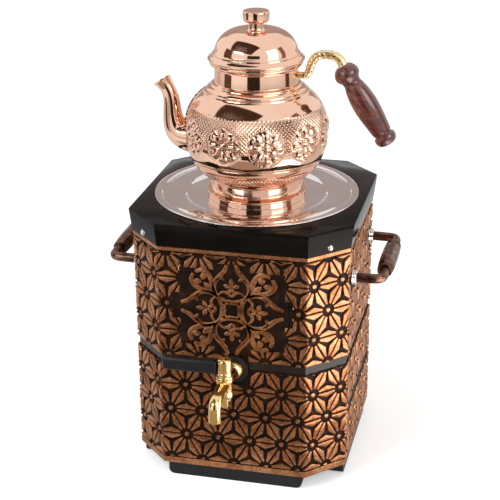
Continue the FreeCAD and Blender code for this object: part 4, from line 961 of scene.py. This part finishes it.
def makeCover():
    base = potTop
    bottom = lowHigh("teapot_lid")[0].z
    knobLow, knobHigh = lowHigh("lid_knob")
    crown, tip = knobLow.z, knobHigh.z
    hem = base + 9.1
    edge, foot, neck, knob, register = [cover[key] for key in ("edge", "foot", "neck", "knob", "register")]
    outer = roundedProfile([
        (register - 1.0, bottom), (register, bottom, 0.3), (register, base + 0.02),
        (edge - 0.5, base + 0.02), (edge, base + 0.8, 0.5), (edge, base + 1.9, 0.7),
        (edge - 1.6, base + 2.8, 0.8),
        (foot + 2.2, base + 4.4, 1.6), (foot + 0.6, base + 5.6, 0.6), (foot + 0.6, base + 7.0, 0.8),
        (foot - 0.9, base + 8.0, 0.6), (foot - 1.6, hem + 1.0)], 5)
    outer += arcBetween((foot - 1.6, hem + 1.0), (neck, crown), cover["dome"], 26)
    inner = [(neck, crown), (2.0, crown), (2.0, crown - 1.2), (neck, crown - 1.3)]
    inner += reversed(arcBetween((foot - 3.2, hem), (neck, crown - 1.3), cover["dome"] - 0.2, 12))
    inner += [(foot - 3.2, hem), (register - 1.0, hem - 3.0), (register - 1.0, bottom)]
    mesh = spinProfile(outer + inner, 192)
    finishPiece(mesh, "cover_dome", "lightCopper", "teapot_cover", ("teapot_lid",), 40.0)
    rise = crown + cover["knobRise"]
    mesh = turned([
        (0.0, crown + 0.02), (neck + 1.8, crown + 0.02, 0.3), (neck, crown + 1.6, 1.2),
        (neck - 0.5, rise - 1.0, 1.0), (neck + 0.6, rise, 0.6), (knob - 1.6, rise + 0.2, 0.8),
        (knob - 0.3, rise + 2.4, 1.6), (knob, tip - 2.6, 0.8), (knob - 0.4, tip - 0.6, 0.6),
        (knob - 1.2, tip, 0.4), (0.0, tip)], 96, 5)
    finishPiece(mesh, "knob_turned", "lightCopper", "teapot_cover", ("lid_knob",), 40.0)
    print("teapot lid made")


# Side handles: dark copper bows with turned grips and bright ferrules
sideHandle = {
    "reach": 28, "spread": 54, "bar": 4.6, "grip": 33,
    "turning": [(4.7, 0), (6.8, 0, 0.4), (7.4, 1.6, 0.8), (6.7, 3, 0.4), (7.7, 4.4, 0.8), (6.7, 5.8, 0.4),
                (7.9, 7.4, 0.8), (6.9, 9, 0.4), (7.8, 11.5, 1), (8.2, 16, 3)],
    "ferrule": [(4.7, 0.1), (6.6, 0.1, 0.3), (7.4, 0.9, 0.6), (6.7, 1.7, 0.3), (7.4, 2.5, 0.6),
                (6.7, 3.3, 0.3), (7.2, 4.1, 0.6), (6.4, 4.9, 0.4), (4.7, 5)],
}


def makeSideHandles():
    gripLow, gripHigh = lowHigh("right_grip")
    z = (gripLow.z + gripHigh.z) / 2
    reach = face + sideHandle["reach"]
    spread, bar, half = sideHandle["spread"], sideHandle["bar"], sideHandle["grip"]
    run = [(face - 6.0, -spread), (face + 4.0, -spread), (face + 15.0, -spread + 0.3),
           (reach - 2.5, -spread + 1.0), (reach + 1.2, -spread + 7.0), (reach, -spread + 18.0),
           (reach, -10.0)]
    ends = [(radius, along - half, *soft) for radius, along, *soft in sideHandle["turning"]]
    mirrored = [(radius, -along, *soft) for radius, along, *soft in reversed(ends)]
    rings = bmesh.new()
    for side, word in ((-1, "left"), (1, "right")):
        route = [(side * x, y, z, bar) for x, y in run] + [(side * x, -y, z, bar) for x, y in reversed(run)]
        mesh = sweptBar(route, 3, 8, 6)
        bow, grip = f"{word}_handle_bow", f"{word}_grip"
        finishPiece(mesh, f"{word}_bow", "oldCopper", "root", (bow,), 50.0)
        mesh = turned(ends + [(8.3, 0.0, 8.0)] + mirrored, 48)
        turnMesh(mesh, 90, "X")
        moveMesh(mesh, (side * reach, 0, z))
        finishPiece(mesh, f"{word}_turned_grip", "oldCopper", "root", (grip,), 45.0)
        for end in (-1, 1):
            ring = turned(sideHandle["ferrule"], 40, 3)
            turnMesh(ring, 90 * side, "Y")
            moveMesh(ring, (side * face, end * spread, z))
            joinInto(rings, ring)
    finishPiece(rings, "ferrule_rings", "chrome", "root", ("handle_ferrules",), 45.0)
    print("side handles made")


# Tap: cast brass body with a curved nozzle, a turned plug and a black lever
tap = {
    "wall": 1.6, "barrelRise": 10, "noseDrop": 5.7, "leverGap": 6.8, "leverSoft": 2.8,
    "shank": [(0, -60), (6, -60), (6, -12), (6, 0), (8.6, 0, 0.6), (9.2, 1.4, 0.8), (8.8, 3, 1),
              (7.6, 5.4, 2), (5.8, 7.2, 1.4), (5.4, 10, 1), (5.4, 38), (0, 38)],
    "barrel": [(5.5, -10), (7.2, -10, 0.5), (8, -9, 0.8), (8, -6, 1), (7.4, -4, 1), (7.6, 5, 1),
               (8.1, 7.4, 0.8), (8.1, 9.4, 0.6), (7.4, 9.95, 0.3), (5.5, 9.95), (5.5, -10)],
}


def makeTap():
    bodyLow = lowHigh("tap_body")[0]
    plugLow, plugHigh = lowHigh("tap_plug")
    low, high = lowHigh("tap_washer")
    x, z = (low.x + high.x) / 2, (low.z + high.z) / 2
    axisY = (plugLow.y + plugHigh.y) / 2
    rim = z + tap["barrelRise"]
    noseZ = rim - tap["noseDrop"]
    endY = bodyLow.y + 5.7
    nose = [(axisY + 2.0, 0.0, 5.6), (axisY - 8.0, 0.0, 5.6), (axisY - 18.0, 0.0, 5.5),
            (endY + 7.0, -0.4, 5.5), (endY + 0.6, -4.0, 5.6), (endY, -11.0, 5.7), (endY, -20.0, 5.9)]
    mesh = sweptBar([(x, y, noseZ + drop, radius) for y, drop, radius in nose], 3, 10, 8, False)
    bmesh.ops.solidify(mesh, geom=mesh.faces[:], thickness=tap["wall"])
    facesOut(mesh)
    shank = turned(tap["shank"], 64)
    turnMesh(shank, 90, "X")
    moveMesh(shank, (x, -face - 3.0, z))
    barrel = turned(tap["barrel"], 64)
    moveMesh(barrel, (x, axisY, z))
    joinInto(mesh, shank)
    joinInto(mesh, barrel)
    finishPiece(mesh, "tap_casting", "brass", "root", ("tap_body",), 42.0)

    foot, top = plugLow.z, plugHigh.z
    mesh = turned([
        (0.0, foot), (3.2, foot, 0.3), (3.6, foot + 0.8, 0.3), (3.6, foot + 10.5), (5.4, foot + 10.5),
        (5.4, rim + 0.2), (7.7, rim + 0.25, 0.3), (8.2, rim + 1.2, 0.8), (7.7, rim + 2.4, 0.4),
        (6.6, rim + 3.0, 0.5), (6.6, rim + 5.4, 0.5), (6.1, rim + 6.0, 0.4), (6.6, rim + 6.6, 0.4),
        (6.6, top - 3.4, 1.0), (5.8, top - 1.2, 1.2), (3.6, top - 0.1, 1.2), (0.0, top)], 64)
    moveMesh(mesh, (x, axisY, 0))
    finishPiece(mesh, "tap_hub", "brass", "tap_handle", ("tap_plug",), 42.0)

    low, high = lowHigh("tap_lever")
    length = x - tap["leverGap"] - low.x
    middle = (low.x + length / 2, axisY, (low.z + high.z) / 2)
    mesh = boxMesh((length, high.y - low.y, high.z - low.z), middle, tap["leverSoft"], 4)
    finishPiece(mesh, "lever_grip", "plastic", "tap_handle", ("tap_lever",), 40.0)
    print("tap made")


# Pale studio: floor, white surroundings and cards that only reflections see
mirrorCards = [
    ("ceilingCard", (-0.42, -0.60, 1.35), (0.0, 0.0, 0.4), (1.5, 1.0), (0.06, 0.035, 0.022), 1.0),
    ("leftCard", (-1.0, -0.35, 0.45), (0.0, 0.0, 0.3), (0.5, 0.9), (0.12, 0.07, 0.045), 1.0),
    ("backCard", (-0.28, 1.25, 0.78), (0.0, 0.0, 0.27), (1.5, 0.8), (0.46, 0.385, 0.365), 1.0),
    ("frontCard", (0.10, -1.0, 0.30), (0.0, 0.0, 0.3), (0.62, 1.0), (0.03, 0.02, 0.015), 1.0),
    ("rightCard", (1.0, 0.05, 0.75), (0.0, 0.0, 0.35), (0.25, 0.7), (0.30, 0.16, 0.10), 1.0),
    ("floorCard", (0.0, -0.52, 0.004), (0.0, -0.52, 1.0), (0.9, 0.75), (0.42, 0.34, 0.28), 1.0),
    ("sideGlow", (0.25, -0.15, 0.09), (0.0, -0.10, 0.13), (0.30, 0.26), (1.0, 0.93, 0.90), 4.0)]
studio = {"key": 16.0, "fill": 7.0, "sky": 0.6, "floorGlow": 0.42, "floorHalf": 20.0}


def lamp(name, place, size, power):
    data = bpy.data.lights.new(name, "AREA")
    data.shape = "RECTANGLE"
    data.size = data.size_y = size
    data.energy = power
    newObject(name, data).matrix_world = facing(place, (0, 0, 0.2), "-Z")


def flatSheet(name, half, matrix=Matrix()):
    mesh = bmesh.new()
    bmesh.ops.create_grid(mesh, x_segments=1, y_segments=1, size=1.0)
    bmesh.ops.scale(mesh, verts=mesh.verts, vec=(*half, 1))
    bmesh.ops.transform(mesh, verts=mesh.verts, matrix=matrix)
    data = bpy.data.meshes.new(name)
    mesh.to_mesh(data)
    mesh.free()
    return newObject(name, data)


def card(name, place, target, size, colour, strength):
    holder = flatSheet(name, (size[0] / 2, size[1] / 2), facing(place, target, "Z"))
    material, tree, shader = newMaterial(name)
    tree.nodes.remove(shader)
    glow = addNode(tree, "Emission", None, Color=(*colour, 1.0), Strength=strength)
    tree.links.new(glow.outputs[0], tree.nodes["Material Output"].inputs["Surface"])
    holder.data.materials.append(material)
    for kind in ("camera", "diffuse", "shadow", "transmission"):
        setattr(holder, "visible_" + kind, False)


def makeStudio():
    floor = flatSheet("floor", (studio["floorHalf"], studio["floorHalf"]))
    material, tree, shader = newMaterial("paleFloor", Roughness=0.9, Base_Color=(0.92, 0.92, 0.92, 1.0),
                                         Specular_IOR_Level=0.0, Emission_Color=(1.0, 1.0, 1.0, 1.0))
    seen = addNode(tree, "LightPath").outputs["Is Camera Ray"]
    tree.links.new(mathNode(tree, "MULTIPLY", seen, studio["floorGlow"]), shader.inputs["Emission Strength"])
    floor.data.materials.append(material)
    world = bpy.data.worlds.new("studio")
    bpy.context.scene.world = world
    world.use_nodes = True
    tree = world.node_tree
    rays = addNode(tree, "LightPath").outputs
    seen = mathNode(tree, "MAXIMUM", rays["Is Camera Ray"], rays["Is Glossy Ray"])
    seen = mathNode(tree, "MAXIMUM", seen, rays["Is Transmission Ray"])
    level = addNode(tree, "MapRange", None, Value=seen, To_Min=studio["sky"], To_Max=1.0)
    tree.links.new(level.outputs["Result"], tree.nodes["Background"].inputs["Strength"])
    tree.nodes["Background"].inputs["Color"].default_value = (1.0, 1.0, 1.0, 1.0)
    lamp("keyLamp", (-0.9, -1.1, 1.5), 0.9, studio["key"])
    lamp("fillLamp", (1.3, -0.7, 1.1), 0.8, studio["fill"])
    for values in mirrorCards:
        card(*values)
    print("studio lit")


makeCamera()
makeMaterials()
dressNodes()
makeCasings()
makeMedallion()
makeCollar()
makeLid()
makeTeapotBody()
makePourSpout()
makeHandle()
makeCover()
makeSideHandles()
makeTap()
makeStudio()
bpy.context.scene.view_settings.view_transform = "Standard"
